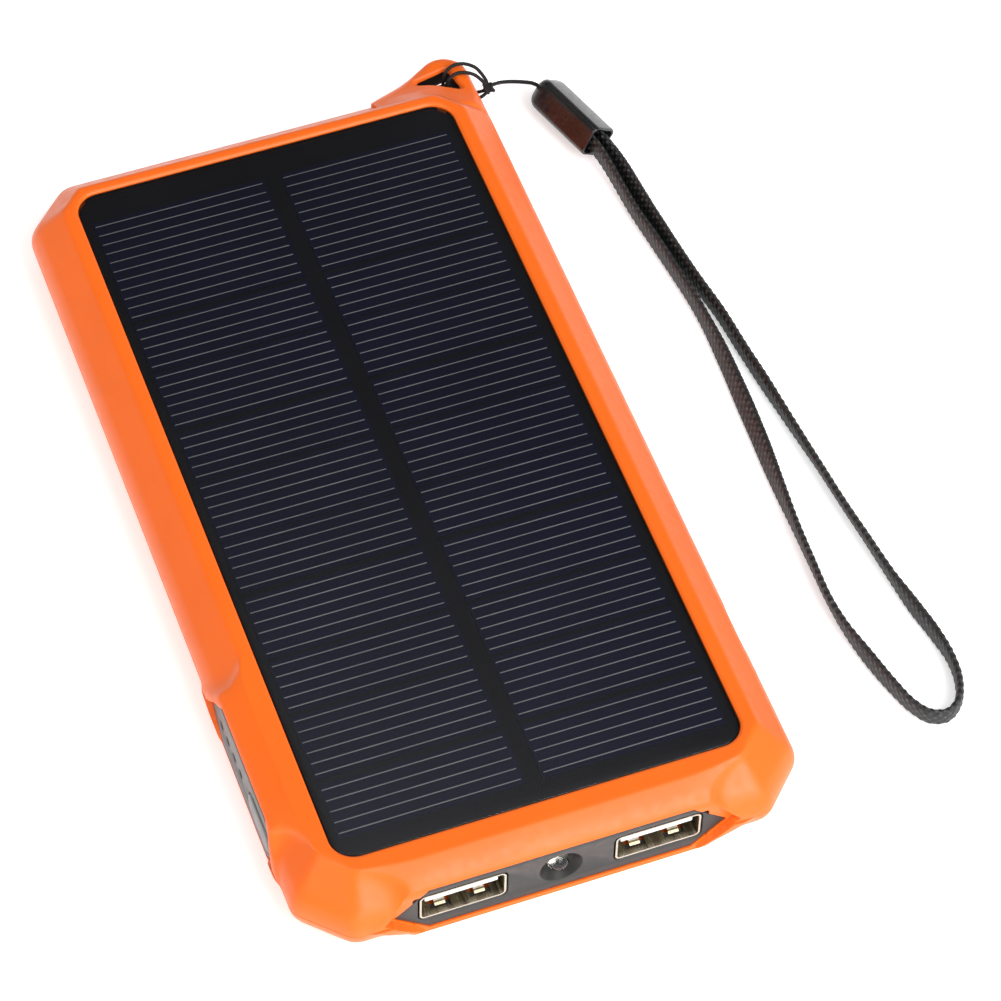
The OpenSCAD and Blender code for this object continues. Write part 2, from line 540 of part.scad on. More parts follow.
module panel_cover() {
  color([0.1, 0.1, 0.12, 0.35]) difference() {
    translate([0, yp, zb + 0.8]) linear_extrude(0.9) panel_plan(0.15);
    translate([-30.2, pf + 2.2, zb]) cube([60.4, panel_l - 5.2, 1.1]);
  }
}

// ---------- fasteners ----------
module case_screws() {
  color(steel) for (b = bosses) translate([b[0], b[1], 0]) difference() {
    union() {
      translate([0, 0, 0.9]) cylinder(h = 1.0, r = 1.9);
      translate([0, 0, 1.9 - e]) cylinder(h = 8.4, r = 1.0);
    }
    for (a = [0, 90]) rotate(a) translate([-1.1, -0.22, 0.8]) cube([2.2, 0.44, 0.6]);
  }
}

// ---------- strap ----------
module lanyard_cord() {
  color(black) {
    tube(loop_a, cord_d, cord_d, [0.1, 1, 0.1]);
    tube(loop_b, cord_d, cord_d, [0.1, 1, 0.1]);
    tube(tuck, cord_d, cord_d, [0.1, 0.1, 1]);
    tube(tail_a, cord_d, cord_d);
    tube(tail_b, cord_d, cord_d);
  }
}
module lanyard_knot() color(black) translate([40.8, 68.5, 8.0]) sphere(1.25);
// ferrule outline along its length, rounded at the cord end
module ferrule_side(l) {
  translate([-2.7, 2.2]) square([5.4, l - 2.2]);
  translate([-0.5, 0]) square([1, 3]);
  for (k = [-1, 1]) translate([k*0.5, 2.2]) circle(2.2);
}
module strap_ferrule() {
  d = fb - fa;
  l = norm(d);
  color([0.12, 0.12, 0.12]) translate(fa) rotate([0, 0, atan2(d[1], d[0])]) rotate([0, 90 - asin(d[2]/l), 0]) rotate([0, 0, 38])
    difference() {
      intersection() {
        linear_extrude(l) rounded(box_pts(5.4, 5.4), 1.1);
        rotate([90, 0, 0]) linear_extrude(10, center = true) ferrule_side(l);
        rotate([90, 0, 90]) linear_extrude(10, center = true) ferrule_side(l);
      }
      translate([0, 0, 2.6]) linear_extrude(l) rounded(box_pts(4.4, 4.4), 0.7);
      translate([0, 0, -1]) cylinder(h = 5, r = 1.15);
    }
}
module wrist_strap() color([0.1, 0.1, 0.1]) tube(strap_route, strap_t, strap_w);

top_shell();
bottom_shell();
port_bezel();
control_bezel();
power_button();
switch_plunger();
tact_switch();
light_pipe();
indicator_leds();
torch_led();
torch_led_legs();
usb_left_shell();
usb_left_tongue();
usb_left_contacts();
usb_right_shell();
usb_right_tongue();
usb_right_contacts();
micro_usb_shell();
micro_usb_tongue();
micro_usb_contacts();
main_board();
board_screws();
power_inductor();
buffer_capacitors();
control_chips();
battery_cell_left();
battery_cell_right();
battery_protection_board();
battery_pads();
battery_lead_red();
battery_lead_black();
solar_lead_red();
solar_lead_black();
solar_backplate();
solar_cells();
cell_fingers();
panel_cover();
panel_adhesive();
case_screws();
lanyard_cord();
lanyard_knot();
strap_ferrule();
wrist_strap();
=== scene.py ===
import bpy, bmesh, math
import numpy as np
from mathutils import Vector, Matrix


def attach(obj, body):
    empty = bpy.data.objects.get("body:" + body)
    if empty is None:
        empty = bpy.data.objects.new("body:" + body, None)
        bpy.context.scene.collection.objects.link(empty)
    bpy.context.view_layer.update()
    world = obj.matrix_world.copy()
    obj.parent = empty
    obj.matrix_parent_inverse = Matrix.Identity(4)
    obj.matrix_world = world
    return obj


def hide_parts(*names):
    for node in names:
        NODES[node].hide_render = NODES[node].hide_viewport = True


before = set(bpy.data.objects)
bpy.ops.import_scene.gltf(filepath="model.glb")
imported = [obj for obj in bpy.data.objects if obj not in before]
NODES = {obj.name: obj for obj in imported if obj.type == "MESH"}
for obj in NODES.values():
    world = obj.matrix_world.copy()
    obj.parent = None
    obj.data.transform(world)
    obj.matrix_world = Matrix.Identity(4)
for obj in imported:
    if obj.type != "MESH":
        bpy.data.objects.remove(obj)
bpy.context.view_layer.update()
MM = 0.001
scene = bpy.context.scene

# ------------------------------------------------------------------ camera
cam_data = bpy.data.cameras.new("camera")
cam_data.sensor_fit = "HORIZONTAL"
cam_data.sensor_width = 36
cam_data.lens = 154.79
cam_data.clip_start = 0.02
cam_data.clip_end = 20
cam = bpy.data.objects.new("camera", cam_data)
right = Vector((0.9391, -0.3432, 0.0160)).normalized()
fwd = Vector((0.2146, 0.5496, -0.8074)).normalized()
up = right.cross(fwd).normalized()
right = fwd.cross(up).normalized()
m = Matrix.Identity(4)
for i in range(3):
    m[i][0], m[i][1], m[i][2] = right[i], up[i], -fwd[i]
m.translation = Vector((-126.17, -369.56, 535.45)) * MM
cam.matrix_world = m
scene.collection.objects.link(cam)
scene.camera = cam

# ------------------------------------------------------------------ measures (mm), as in the CAD
HX, NR, ZM, TOP = 38.75, 5.5, 7.6, 15.2
FRONT, BACK = -75.5, 69.4
PF, PB = -66.95, 62.35
YP = (PF + PB) / 2
HP = 31.3
DD = (HP + 64.65) / math.sqrt(2)
FACE_Y, FACE_X = PF - 7.4, -(HP + 7.05)
PORT_Z, TORCH_Z, PORT_X = 8.0, 7.8, 14.9
CTL_Y, BTN_Y = PF + 21.6, PF + 14.2
LED0, LEDP = PF + 23.1, 2.97
IN_Y, BT = PF + 21.6, 5.15
BOSS = [(29, -64.6), (-29, -64.6), (30.8, -30.8), (-30.8, -30.8), (28, 61.2), (-28, 61.2)]


# ------------------------------------------------------------------ small helpers
def new_mesh(name, V, F, smooth=True):
    me = bpy.data.meshes.new(name)
    me.from_pydata([tuple(float(c) * MM for c in v) for v in V], [], [tuple(int(i) for i in f) for f in F])
    me.validate()
    me.update()
    if smooth:
        me.polygons.foreach_set("use_smooth", [True] * len(me.polygons))
    ob = bpy.data.objects.new(name, me)
    scene.collection.objects.link(ob)
    return ob


def place(ob, mat, reps=(), body="case"):
    if mat is not None:
        ob.data.materials.clear()
        ob.data.materials.append(mat)
    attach(ob, body)
    if reps:
        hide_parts(*reps)
    return ob


def loft(name, rings, cap0=True, cap1=True, closed=False, smooth=True):
    """Quads between equal rings of points."""
    rings = [np.asarray(r, float) for r in rings]
    n = len(rings[0])
    V = np.concatenate(rings)
    F = []
    R = len(rings)
    for j in range(R if closed else R - 1):
        a, b = j * n, ((j + 1) % R) * n
        for i in range(n):
            k = (i + 1) % n
            F.append((a + i, a + k, b + k, b + i))
    if not closed:
        if cap0:
            F.append(tuple(range(n - 1, -1, -1)))
        if cap1:
            F.append(tuple((R - 1) * n + i for i in range(n)))
    ob = new_mesh(name, V, F, smooth)
    bm = bmesh.new()
    bm.from_mesh(ob.data)
    bmesh.ops.recalc_face_normals(bm, faces=bm.faces)
    bm.to_mesh(ob.data)
    bm.free()
    return ob


def round_poly(pts, r, n=8):
    """Convex outline with rounded corners, n+1 points each; r may be one number or one per corner."""
    pts = [np.array(p, float) for p in pts]
    out = []
    N = len(pts)
    for i, p in enumerate(pts):
        rr = r[i] if hasattr(r, "__len__") else r
        a = pts[i - 1] - p
        b = pts[(i + 1) % N] - p
        a /= np.linalg.norm(a)
        b /= np.linalg.norm(b)
        h = math.acos(max(-1, min(1, float(a @ b)))) / 2
        c = p + (a + b) / np.linalg.norm(a + b) * rr / math.sin(h)
        s, e = p + a * rr / math.tan(h), p + b * rr / math.tan(h)
        a0 = math.atan2(*(s - c)[::-1])
        a1 = math.atan2(*(e - c)[::-1])
        d = (a1 - a0 + math.pi) % (2 * math.pi) - math.pi
        for k in range(n + 1):
            t = a0 + d * k / n
            out.append(c + rr * np.array([math.cos(t), math.sin(t)]))
    return np.array(out)


def rect(w, l):
    return [(-w / 2, -l / 2), (w / 2, -l / 2), (w / 2, l / 2), (-w / 2, l / 2)]


def hexa(hl, hf, hh):
    return [(-hl, 0), (-hf, -hh), (hf, -hh), (hl, 0), (hf, hh), (-hf, hh)]


def obround(l, h, n=16):
    out = []
    for s, a0 in ((1, -90), (-1, 90)):
        for k in range(n + 1):
            t = math.radians(a0 + 180 * k / n)
            out.append((s * (l - h) / 2 + h / 2 * math.cos(t), h / 2 * math.sin(t)))
    return np.array(out)


def at_z(p, z):
    return np.c_[p, np.full(len(p), z)]


def on_front(p, y, zc, xc=0.0):
    """Outline (x, z) set at depth y on the port end."""
    return np.c_[p[:, 0] + xc, np.full(len(p), y), p[:, 1] + zc]


def on_left(p, x, yc, zc):
    """Outline (y, z) set at depth x on the left side."""
    return np.c_[np.full(len(p), x), p[:, 0] + yc, p[:, 1] + zc]


def boolean(ob, cutters, op="DIFFERENCE"):
    for c in cutters:
        md = ob.modifiers.new("b", "BOOLEAN")
        md.object = c
        md.operation = op
        md.solver = "MANIFOLD"
    dg = bpy.context.evaluated_depsgraph_get()
    me = bpy.data.meshes.new_from_object(ob.evaluated_get(dg))
    ob.modifiers.clear()
    old = ob.data
    ob.data = me
    bpy.data.meshes.remove(old)


def drop(*obs):
    for o in obs:
        me = o.data
        bpy.data.objects.remove(o)
        if me.users == 0:
            bpy.data.meshes.remove(me)


def sharpen(ob, deg=32):
    me = ob.data
    me.polygons.foreach_set("use_smooth", [True] * len(me.polygons))
    me.set_sharp_from_angle(angle=math.radians(deg))


# ------------------------------------------------------------------ materials
def mat_new(name):
    mt = bpy.data.materials.new(name)
    mt.use_nodes = True
    nt = mt.node_tree
    nt.nodes.clear()
    out = nt.nodes.new("ShaderNodeOutputMaterial")
    return mt, nt, out


def link(nt, a, b):
    nt.links.new(a, b)


def principled(nt, out, **kw):
    p = nt.nodes.new("ShaderNodeBsdfPrincipled")
    for k, v in kw.items():
        p.inputs[k.replace("_", " ")].default_value = v
    link(nt, p.outputs[0], out.inputs[0])
    return p


def coord(nt, kind="Object"):
    t = nt.nodes.new("ShaderNodeTexCoord")
    return t.outputs[kind]


def noise(nt, vec, scale, detail=3, rough=0.5):
    n = nt.nodes.new("ShaderNodeTexNoise")
    n.inputs["Scale"].default_value = scale
    n.inputs["Detail"].default_value = detail
    n.inputs["Roughness"].default_value = rough
    link(nt, vec, n.inputs["Vector"])
    return n.outputs[0]


def ramp(nt, fac, stops):
    r = nt.nodes.new("ShaderNodeValToRGB")
    e = r.color_ramp.elements
    while len(e) < len(stops):
        e.new(0.5)
    for i, (p, c) in enumerate(stops):
        e[i].position = p
        e[i].color = (*c, 1) if len(c) == 3 else c
    link(nt, fac, r.inputs[0])
    return r.outputs[0]


def bump(nt, height, strength, dist, p, prev=None):
    b = nt.nodes.new("ShaderNodeBump")
    b.inputs["Strength"].default_value = strength
    b.inputs["Distance"].default_value = dist
    link(nt, height, b.inputs["Height"])
    if prev is not None:
        link(nt, prev, b.inputs["Normal"])
    if p is not None:
        link(nt, b.outputs[0], p.inputs["Normal"])
    return b.outputs[0]


def gray(v):
    return (v, v, v)


def plastic(name, col, rough, grain=5200, gs=0.12, gd=2e-5, var=0.06, spec=0.5, sss=0.0, rvar=0.06):
    mt, nt, out = mat_new(name)
    p = principled(nt, out, Roughness=rough)
    p.inputs["Specular IOR Level"].default_value = spec
    oc = coord(nt)
    n1 = noise(nt, oc, 90, 3)
    c0 = tuple(c * (1 - var) for c in col)
    c1 = tuple(min(1, c * (1 + var)) for c in col)
    link(nt, ramp(nt, n1, [(0.35, c0), (0.65, c1)]), p.inputs["Base Color"])
    n2 = noise(nt, oc, grain, 2)
    link(nt, ramp(nt, noise(nt, oc, 700, 3), [(0.3, gray(rough - rvar)), (0.7, gray(rough + rvar))]), p.inputs["Roughness"])
    bump(nt, n2, gs, gd, p)
    if sss:
        p.inputs["Subsurface Weight"].default_value = sss
        p.inputs["Subsurface Radius"].default_value = (1.0, 0.35, 0.1)
        p.inputs["Subsurface Scale"].default_value = 0.0008
    return mt


def metal(name, col, rough, scale=3000, gs=0.1, stretch=(1, 0.06, 1), rvar=0.1):
    mt, nt, out = mat_new(name)
    p = principled(nt, out, Metallic=1.0, Roughness=rough)
    oc = coord(nt)
    mp = nt.nodes.new("ShaderNodeMapping")
    mp.inputs["Scale"].default_value = stretch
    link(nt, oc, mp.inputs["Vector"])
    n = noise(nt, mp.outputs[0], scale, 4)
    link(nt, ramp(nt, n, [(0.3, gray(max(0.02, rough - rvar))), (0.7, gray(rough + rvar))]), p.inputs["Roughness"])
    link(nt, ramp(nt, noise(nt, oc, 300, 3), [(0.3, tuple(c * 0.86 for c in col)), (0.7, col)]), p.inputs["Base Color"])
    bump(nt, n, gs, 1e-5, p)
    return mt


ORANGE = plastic("orange_shell", (0.89, 0.140, 0.0085), 0.38, var=0.02, spec=0.36, sss=0.0)
BEZEL = plastic("grey_bezel", (0.037, 0.0368, 0.0355), 0.42, grain=4200, gs=0.2, gd=2.5e-5, spec=0.3)
# painted shade: the bezel grey darkened for the torch recess walls
RECESS_PAINTED_SHADE = plastic("lamp_recess_painted_shade", (0.020, 0.019, 0.018), 0.45, grain=4200, gs=0.15, spec=0.25)
# painted light: the same grey bezel plastic as the port bezel, made paler where light falls on the left side
BEZEL_PAINTED_LIT = plastic("grey_side_bezel_painted_lit", (0.125, 0.121, 0.117), 0.42, grain=4200, gs=0.2, gd=2.5e-5, spec=0.35)
BUTTON = plastic("grey_button", (0.17, 0.166, 0.162), 0.34, grain=6000, gs=0.1)
BLACKP = plastic("black_moulded", (0.012, 0.012, 0.013), 0.3, grain=3000, gs=0.08, var=0.2)
PALEP = plastic("pale_moulded", (0.86, 0.85, 0.82), 0.4, grain=3000, gs=0.06, var=0.03)
STEEL = metal("plated_steel", (0.66, 0.64, 0.58), 0.2)


def socket_mat():
    """Plated steel, darkened inside the mouth by painted shade, with the sprung tongues painted near white as a
    highlight.
    """
    mt = metal("socket_steel", (0.60, 0.56, 0.46), 0.32)
    nt = mt.node_tree
    p = [n for n in nt.nodes if n.type == "BSDF_PRINCIPLED"][0]
    src = p.inputs["Base Color"].links[0].from_socket
    sx = nt.nodes.new("ShaderNodeSeparateXYZ")
    link(nt, coord(nt), sx.inputs[0])
    # painted shade: the colour darkens with depth into the socket
    mr = nt.nodes.new("ShaderNodeMapRange")
    mr.inputs["From Min"].default_value = (FACE_Y + 0.2) * MM
    mr.inputs["From Max"].default_value = (FACE_Y + 1.0) * MM
    link(nt, sx.outputs[1], mr.inputs["Value"])
    mx = nt.nodes.new("ShaderNodeMix")
    mx.data_type = "RGBA"
    mx.blend_type = "MULTIPLY"
    mx.inputs[0].default_value = 1.0
    link(nt, src, mx.inputs[6])
    link(nt, ramp(nt, mr.outputs[0], [(0.0, (1, 1, 1)), (1.0, (0.42, 0.38, 0.30))]), mx.inputs[7])

    def math_node(op, a, b):
        m = nt.nodes.new("ShaderNodeMath")
        m.operation = op
        for i, v in enumerate((a, b)):
            if isinstance(v, (int, float)):
                m.inputs[i].default_value = v
            elif v is not None:
                link(nt, v, m.inputs[i])
        return m.outputs[0]

    # painted highlight: the sprung tongues are painted near white
    side = math_node("ABSOLUTE", math_node("SUBTRACT", math_node("ABSOLUTE", sx.outputs[0], None), PORT_X * MM), None)
    tongue_highlight_mask = math_node("MULTIPLY", math_node("LESS_THAN", side, 4.3 * MM), math_node("GREATER_THAN", sx.outputs[2], (PORT_Z - 2.2) * MM))
    tongue_highlight_mask = math_node("MULTIPLY", tongue_highlight_mask, math_node("LESS_THAN", sx.outputs[2], (PORT_Z + 2.0) * MM))
    m2 = nt.nodes.new("ShaderNodeMix")
    m2.data_type = "RGBA"
    link(nt, tongue_highlight_mask, m2.inputs[0])
    link(nt, mx.outputs[2], m2.inputs[6])
    m2.inputs[7].default_value = (0.95, 0.94, 0.91, 1)
    link(nt, m2.outputs[2], p.inputs["Base Color"])
    return mt


SOCKET = socket_mat()
GOLD = metal("gold_contact", (0.83, 0.60, 0.25), 0.25)
FOIL = metal("pouch_foil", (0.72, 0.73, 0.75), 0.35, scale=1200, gs=0.3, stretch=(1, 1, 1))
BOARD = plastic("board_mask", (0.015, 0.14, 0.055), 0.32, grain=2500, gs=0.1, var=0.25)
FERRITE = plastic("ferrite", (0.045, 0.045, 0.05), 0.6, grain=2500, gs=0.4)
REDW = plastic("red_lead", (0.5, 0.02, 0.015), 0.45)
BLACKW = plastic("black_lead", (0.012, 0.012, 0.012), 0.45, var=0.2)
# painted shade: a near-black colour for the hollow insides and the eye's walls, standing in for their shade
PAINTED_SHADE = plastic("painted_shade_black", (0.0060, 0.0050, 0.0045), 0.6, grain=2500, var=0.2, spec=0.08)
PBACK = plastic("panel_back", (0.0102, 0.0101, 0.0138), 0.5, grain=1500, gs=0.02, gd=1e-6, var=0.15, spec=0.1)


def clear_mat(name, tint=(0.92, 0.94, 0.95), rough=0.03):
    mt, nt, out = mat_new(name)
    p = principled(nt, out, Roughness=rough)
    p.inputs["Transmission Weight"].default_value = 1.0
    p.inputs["IOR"].default_value = 1.49
    oc = coord(nt)
    link(nt, ramp(nt, noise(nt, oc, 900, 2), [(0.3, tuple(c * 0.96 for c in tint)), (0.7, tint)]), p.inputs["Base Color"])
    bump(nt, noise(nt, oc, 1500, 2), 0.02, 1e-5, p)
    return mt


CLEAR = clear_mat("clear_lens")
FROST = clear_mat("frosted_lens", (0.66, 0.66, 0.64), 0.14)


def cell_mat():
    mt, nt, out = mat_new("cell_silicon")
    p = principled(nt, out, Roughness=0.3)
    oc = coord(nt)
    v = nt.nodes.new("ShaderNodeTexVoronoi")
    v.inputs["Scale"].default_value = 420
    link(nt, oc, v.inputs["Vector"])
    p.inputs["Specular IOR Level"].default_value = 0.1
    link(nt, ramp(nt, noise(nt, oc, 60, 4), [(0.3, (0.0092, 0.0098, 0.0310)), (0.7, (0.0112, 0.0120, 0.0370))]), p.inputs["Base Color"])
    bump(nt, v.outputs[0], 0.02, 4e-6, p)
    return mt


def cover_mat():
    """Clear satin laminate: lets the cells show, with its own soft reflection and a little haze."""
    mt, nt, out = mat_new("panel_laminate")
    oc = coord(nt)
    tr = nt.nodes.new("ShaderNodeBsdfTransparent")
    link(nt, ramp(nt, noise(nt, oc, 40, 3), [(0.3, (0.86, 0.87, 0.88)), (0.7, (0.90, 0.91, 0.92))]), tr.inputs[0])
    gl = nt.nodes.new("ShaderNodeBsdfGlossy")
    gl.inputs["Color"].default_value = (1, 1, 1, 1)
    link(nt, ramp(nt, noise(nt, oc, 500, 3), [(0.3, gray(0.17)), (0.7, gray(0.19))]), gl.inputs["Roughness"])
    df = nt.nodes.new("ShaderNodeBsdfDiffuse")
    df.inputs["Color"].default_value = (0.016, 0.0165, 0.019, 1)
    fr = nt.nodes.new("ShaderNodeFresnel")
    fr.inputs["IOR"].default_value = 1.42
    m1 = nt.nodes.new("ShaderNodeMixShader")
    m1.inputs[0].default_value = 0.10
    link(nt, tr.outputs[0], m1.inputs[1])
    link(nt, df.outputs[0], m1.inputs[2])
    m2 = nt.nodes.new("ShaderNodeMixShader")
    link(nt, fr.outputs[0], m2.inputs[0])
    link(nt, m1.outputs[0], m2.inputs[1])
    link(nt, gl.outputs[0], m2.inputs[2])
    link(nt, m2.outputs[0], out.inputs[0])
    b = nt.nodes.new("ShaderNodeBump")
    b.inputs["Strength"].default_value = 0.001
    b.inputs["Distance"].default_value = 5e-6
    link(nt, noise(nt, oc, 2500, 2), b.inputs["Height"])
    link(nt, b.outputs[0], gl.inputs["Normal"])
    return mt


def film_mat():
    """Inner faces of the laminate: they only tint what lies below a little."""
    mt, nt, out = mat_new("laminate_inside")
    tr = nt.nodes.new("ShaderNodeBsdfTransparent")
    link(nt, ramp(nt, noise(nt, coord(nt), 40, 3), [(0.3, gray(0.97)), (0.7, gray(0.99))]), tr.inputs[0])
    link(nt, tr.outputs[0], out.inputs[0])
    return mt


CELL = cell_mat()
COVER = cover_mat()
FILM = film_mat()
FINGER = plastic("cell_silver", (0.40, 0.40, 0.40), 0.5, grain=1500, var=0.12, spec=0.2)

# ------------------------------------------------------------------ casing form
def side_terms(c, p):
    q = p - c
    L, a = math.hypot(q, ZM), math.atan2(ZM, q)
    return c, a - math.acos(NR / L)


SIDES = [  # outward normal, nose centre distance, rim distance
    ((1, 0), HX - NR, HX - NR + 0.18),
    ((1, 1), DD - 0.28, DD + 0.07),
    ((0, 1), BACK - NR - YP, PB + 1.7 - YP),
    ((-1, 1), DD - 0.28, DD + 0.07),
    ((-1, 0), HX - NR, HX - NR + 0.18),
    ((-1, -1), DD + 0.84, DD + 0.07),
    ((0, -1), YP - (FRONT + NR), YP - (PF - 2.0)),
    ((1, -1), DD + 0.84, DD + 0.07),
]


def smax(a, b, k):
    return np.maximum(a, b) + np.maximum(k - np.abs(a - b), 0) ** 2 / (4 * k)


def smin(a, b, k):
    return -smax(-a, -b, k)


def convex(u, v, pts, k=0.0):
    """Signed distance-like value of the convex side through pts, outward on their right."""
    f = None
    for (a0, b0), (a1, b1) in zip(pts[:-1], pts[1:]):
        d = math.hypot(a1 - a0, b1 - b0)
        g = ((b1 - b0) * (u - a0) - (a1 - a0) * (v - b0)) / d
        f = g if f is None else (smax(f, g, k) if k else np.maximum(f, g))
    return f


def body_f(P, cut=True):
    x, y, h = P[..., 0], P[..., 1], P[..., 2] - ZM
    ah = np.abs(h)
    f = None
    kc = 0.95 - 0.5 * np.clip((ah - 2.5) / 3.4, 0, 1)
    for (nx, ny), c, p in SIDES:
        s = math.hypot(nx, ny)
        d = (x * nx + (y - YP) * ny) / s
        _, th = side_terms(c, p)
        e = d - c
        ang = np.arctan2(ah, e)
        g = np.where(ang < th, np.hypot(e, ah) - NR, e * math.cos(th) + ah * math.sin(th) - NR)
        f = g if f is None else smax(f, g, kc)
    f = smax(f, ah - ZM, 0.42)
    # land behind the port bezel
    pr = [(FACE_Y, -1.0), (FACE_Y, 4.85), (PF - 7.15, 5.4), (PF - 6.5, 6.0), (PF - 5.4, 6.65), (PF - 2, 7.6), (PF + 2, 7.62)]
    w = np.clip((ah - 5.2) / 1.0, 0, 1)
    w = w * w * (3 - 2 * w)
    fp = convex(-y - np.where(h < 0, 0.75, 0.0) + 0.6 * np.logaddexp(0, (np.abs(x) - 22.8) / 1.2) * w, ah, [(-a, b) for a, b in pr], 0.5)
    l1 = ((np.abs(x) - 27.3) * 5.4 + ah * 5.8) / math.hypot(5.4, 5.8)
    l2 = ((np.abs(x) - 21.2) * 2.2 - (ah - 5.4) * 5.6) / math.hypot(2.2, 5.6)
    pad = smax(fp, smin(l1, l2, 3.2), 0.6)
    pad = np.maximum(np.maximum(pad, ah - ZM), y - (PF + 1.5))
    f = smin(f, pad, 2.2)
    # land behind the control bezel
    v = np.abs(y - CTL_Y)
    x0 = -(HX - NR + 0.18)
    pr = [(FACE_X, -1.0), (FACE_X, 4.85), (FACE_X + 0.25, 5.35), (FACE_X + 0.9, 5.95), (FACE_X + 2.2, 6.65), (x0, 7.6), (x0 + 4, 7.62)]
    fp = convex(-x - np.where(h < 0, 0.25, 0.0) + 0.66 * np.logaddexp(0, (v - 11.8) / 1.2) * w, ah, [(-a, b) for a, b in pr], 0.5)
    l1 = ((v - 16.6) * 5.4 + ah * 5.4) / math.hypot(5.4, 5.4)
    l2 = ((v - 11.0) * 2.2 - (ah - 5.4) * np.where(y > CTL_Y, 2.2, 4.2)) / 4.2
    pad = smax(fp, smin(l1, l2, 3.2), 0.6)
    pad = np.maximum(np.maximum(pad, ah - ZM), x - (x0 + 2.5))
    f = smin(f, pad, 2.2)
    f = smax(f, ah - ZM, 0.1)
    if cut:
        a = y - FACE_Y
        b = np.maximum(((np.abs(x) - 25.9 - 1.9 * np.clip(h / 0.8, 0, 1)) * 5.4 + ah * 5.3) / math.hypot(5.4, 5.3), ah - np.where(h < 0, 5.0, 5.4))
        f = smax(f, -smax(a, b, 0.2), 0.3)
        a = x - FACE_X
        b = np.maximum(((v - 15.4) * 5.4 + ah * 5.0) / math.hypot(5.4, 5.0), ah - np.where(h < 0, 5.0, 5.4))
        f = smax(f, -smax(a, b, 0.2), 0.3)
    return f


def perimeter():
    """Origins, normals and shears of the rays that find the casing's skin."""
    ins = [HX - NR - 0.45, DD - 0.55, PB + 1.1 - YP, DD - 0.55, HX - NR - 0.45, DD - 0.55, YP - (PF - 1.4), DD - 0.55]
    nrm = [np.array(s[0], float) / math.hypot(*s[0]) for s in SIDES]
    pts = []
    for i in range(8):
        A = np.array([nrm[i], nrm[(i + 1) % 8]])
        pts.append(np.linalg.solve(A, [ins[i], ins[(i + 1) % 8]]))
    rr = 3.0
    O, N = [], []
    t22 = rr * math.tan(math.radians(22.5))
    for i in range(8):
        a, b = pts[i - 1], pts[i]  # straight run of side i
        T = (b - a) / np.linalg.norm(b - a)
        a2, b2 = a + T * t22, b - T * t22
        L = np.linalg.norm(b2 - a2)
        s, ss = 0.0, [0.0]
        while s < L:
            st = 0.75
            if i == 6:
                st = 0.14 if abs(a2[0] + T[0] * s) > 18.5 else 0.5
            elif i == 4:
                st = 0.14 if 8.5 <= abs(a2[1] + YP + T[1] * s - CTL_Y) <= 22 else 0.5
            elif i in (5, 7):
                st = 0.2
            s += min(st, 0.25 + 0.35 * min(s, max(L - s, 0)) + 0.02)
            ss.append(s)
        for s in np.array(ss) * (L / ss[-1]):
            O.append(a2 + T * s)
            N.append(nrm[i])
        # rounded corner to the next side
        c = b2 - nrm[i] * rr
        a0 = math.atan2(nrm[i][1], nrm[i][0])
        for k in range(1, 16):
            t = a0 + math.radians(45) * k / 16
            n = np.array([math.cos(t), math.sin(t)])
            O.append(c + rr * n)
            N.append(n)
    O, N = np.array(O), np.array(N)
    O[:, 1] += YP
    # the rays lean along the skin, so that their rows follow the slanted ends of the two lands
    A = np.r_[0, np.cumsum(np.linalg.norm(np.diff(O, axis=0), axis=1))]
    whole = A[-1] + np.linalg.norm(O[0] - O[-1])
    S = np.zeros(len(O))
    for face, (mx, my), sl, xs in (((0, -1), (0.0, O[:, 1].min()), -0.6, [8.0, 19.0, 27.4, 33.0]),
                                   ((-1, 0), (O[:, 0].min(), CTL_Y), -0.5, [0.0, 9.0, 17.5, 26.0])):
        j = int(np.argmin(np.hypot(O[:, 0] - mx, O[:, 1] - my)))
        along = (O[j] - np.array([mx, my])) @ np.array([-face[1], face[0]])
        q = A - A[j] + along
        q = (q + whole / 2) % whole - whole / 2
        S += np.sign(q) * sl * np.interp(np.abs(q), xs, [0, 1, 1, 0])
    T = np.c_[-N[:, 1], N[:, 0]]
    return O, N, T * S[:, None]


def half_shell(name, top):
    O, N, S = perimeter()
    sg = 1 if top else -1
    ph = np.radians(np.concatenate([[0.0, 0.9], np.linspace(1.8, 40, 30), np.linspace(41.2, 66, 22), np.linspace(67, 90, 26)]))
    D = np.empty((len(ph), len(O), 3))
    D[..., :2] = np.cos(ph)[:, None, None] * N[None] + (np.sin(ph)[:, None, None] * S[None])
    D[..., 2] = sg * np.sin(ph)[:, None]
    P0 = np.concatenate([O, np.full((len(O), 1), ZM)], 1)[None]
    lo, hi = np.zeros(D.shape[:2]), np.full(D.shape[:2], 18.0)
    for _ in range(34):
        md = (lo + hi) / 2
        ins = body_f(P0 + D * md[..., None]) < 0
        lo = np.where(ins, md, lo)
        hi = np.where(ins, hi, md)
    P = P0 + D * lo[..., None]
    # shadow gap along the parting line
    P[0, :, :2] -= N * 0.09
    P[0, :, 2] = ZM + sg * 0.02
    P[-1, :, 2] = TOP if top else 0.0
    rings = [P[j] for j in range(len(ph))]
    return loft(name, rings)


def prism_z(name, outline, z0, z1):
    return loft(name, [at_z(outline, z0), at_z(outline, z1)], smooth=False)


def inner_plan(w, y0, y1, s):
    """The cavity's eight-sided outline."""
    p = [(w, y0), (w, y1), (-w, y1), (-w, y0)]
    out = []
    cy = YP
    # clip the box corners with |x| + |y - cy| = s
    for (x, y) in p:
        ax, ay = math.copysign(1, x), math.copysign(1, y - cy)
        yy = cy + ay * (s - abs(x))
        xx = ax * (s - abs(y - cy))
        q = [(xx, y), (x, yy)]
        if (x > 0) == (y > cy):
            q = q[::-1]
        out += q
    return np.array(out)


def cyl(name, x, y, z0, z1, r, n=40):
    a = np.linspace(0, 2 * math.pi, n, endpoint=False)
    return prism_z(name, np.c_[x + r * np.cos(a), y + r * np.sin(a)], z0, z1)


EYE = None


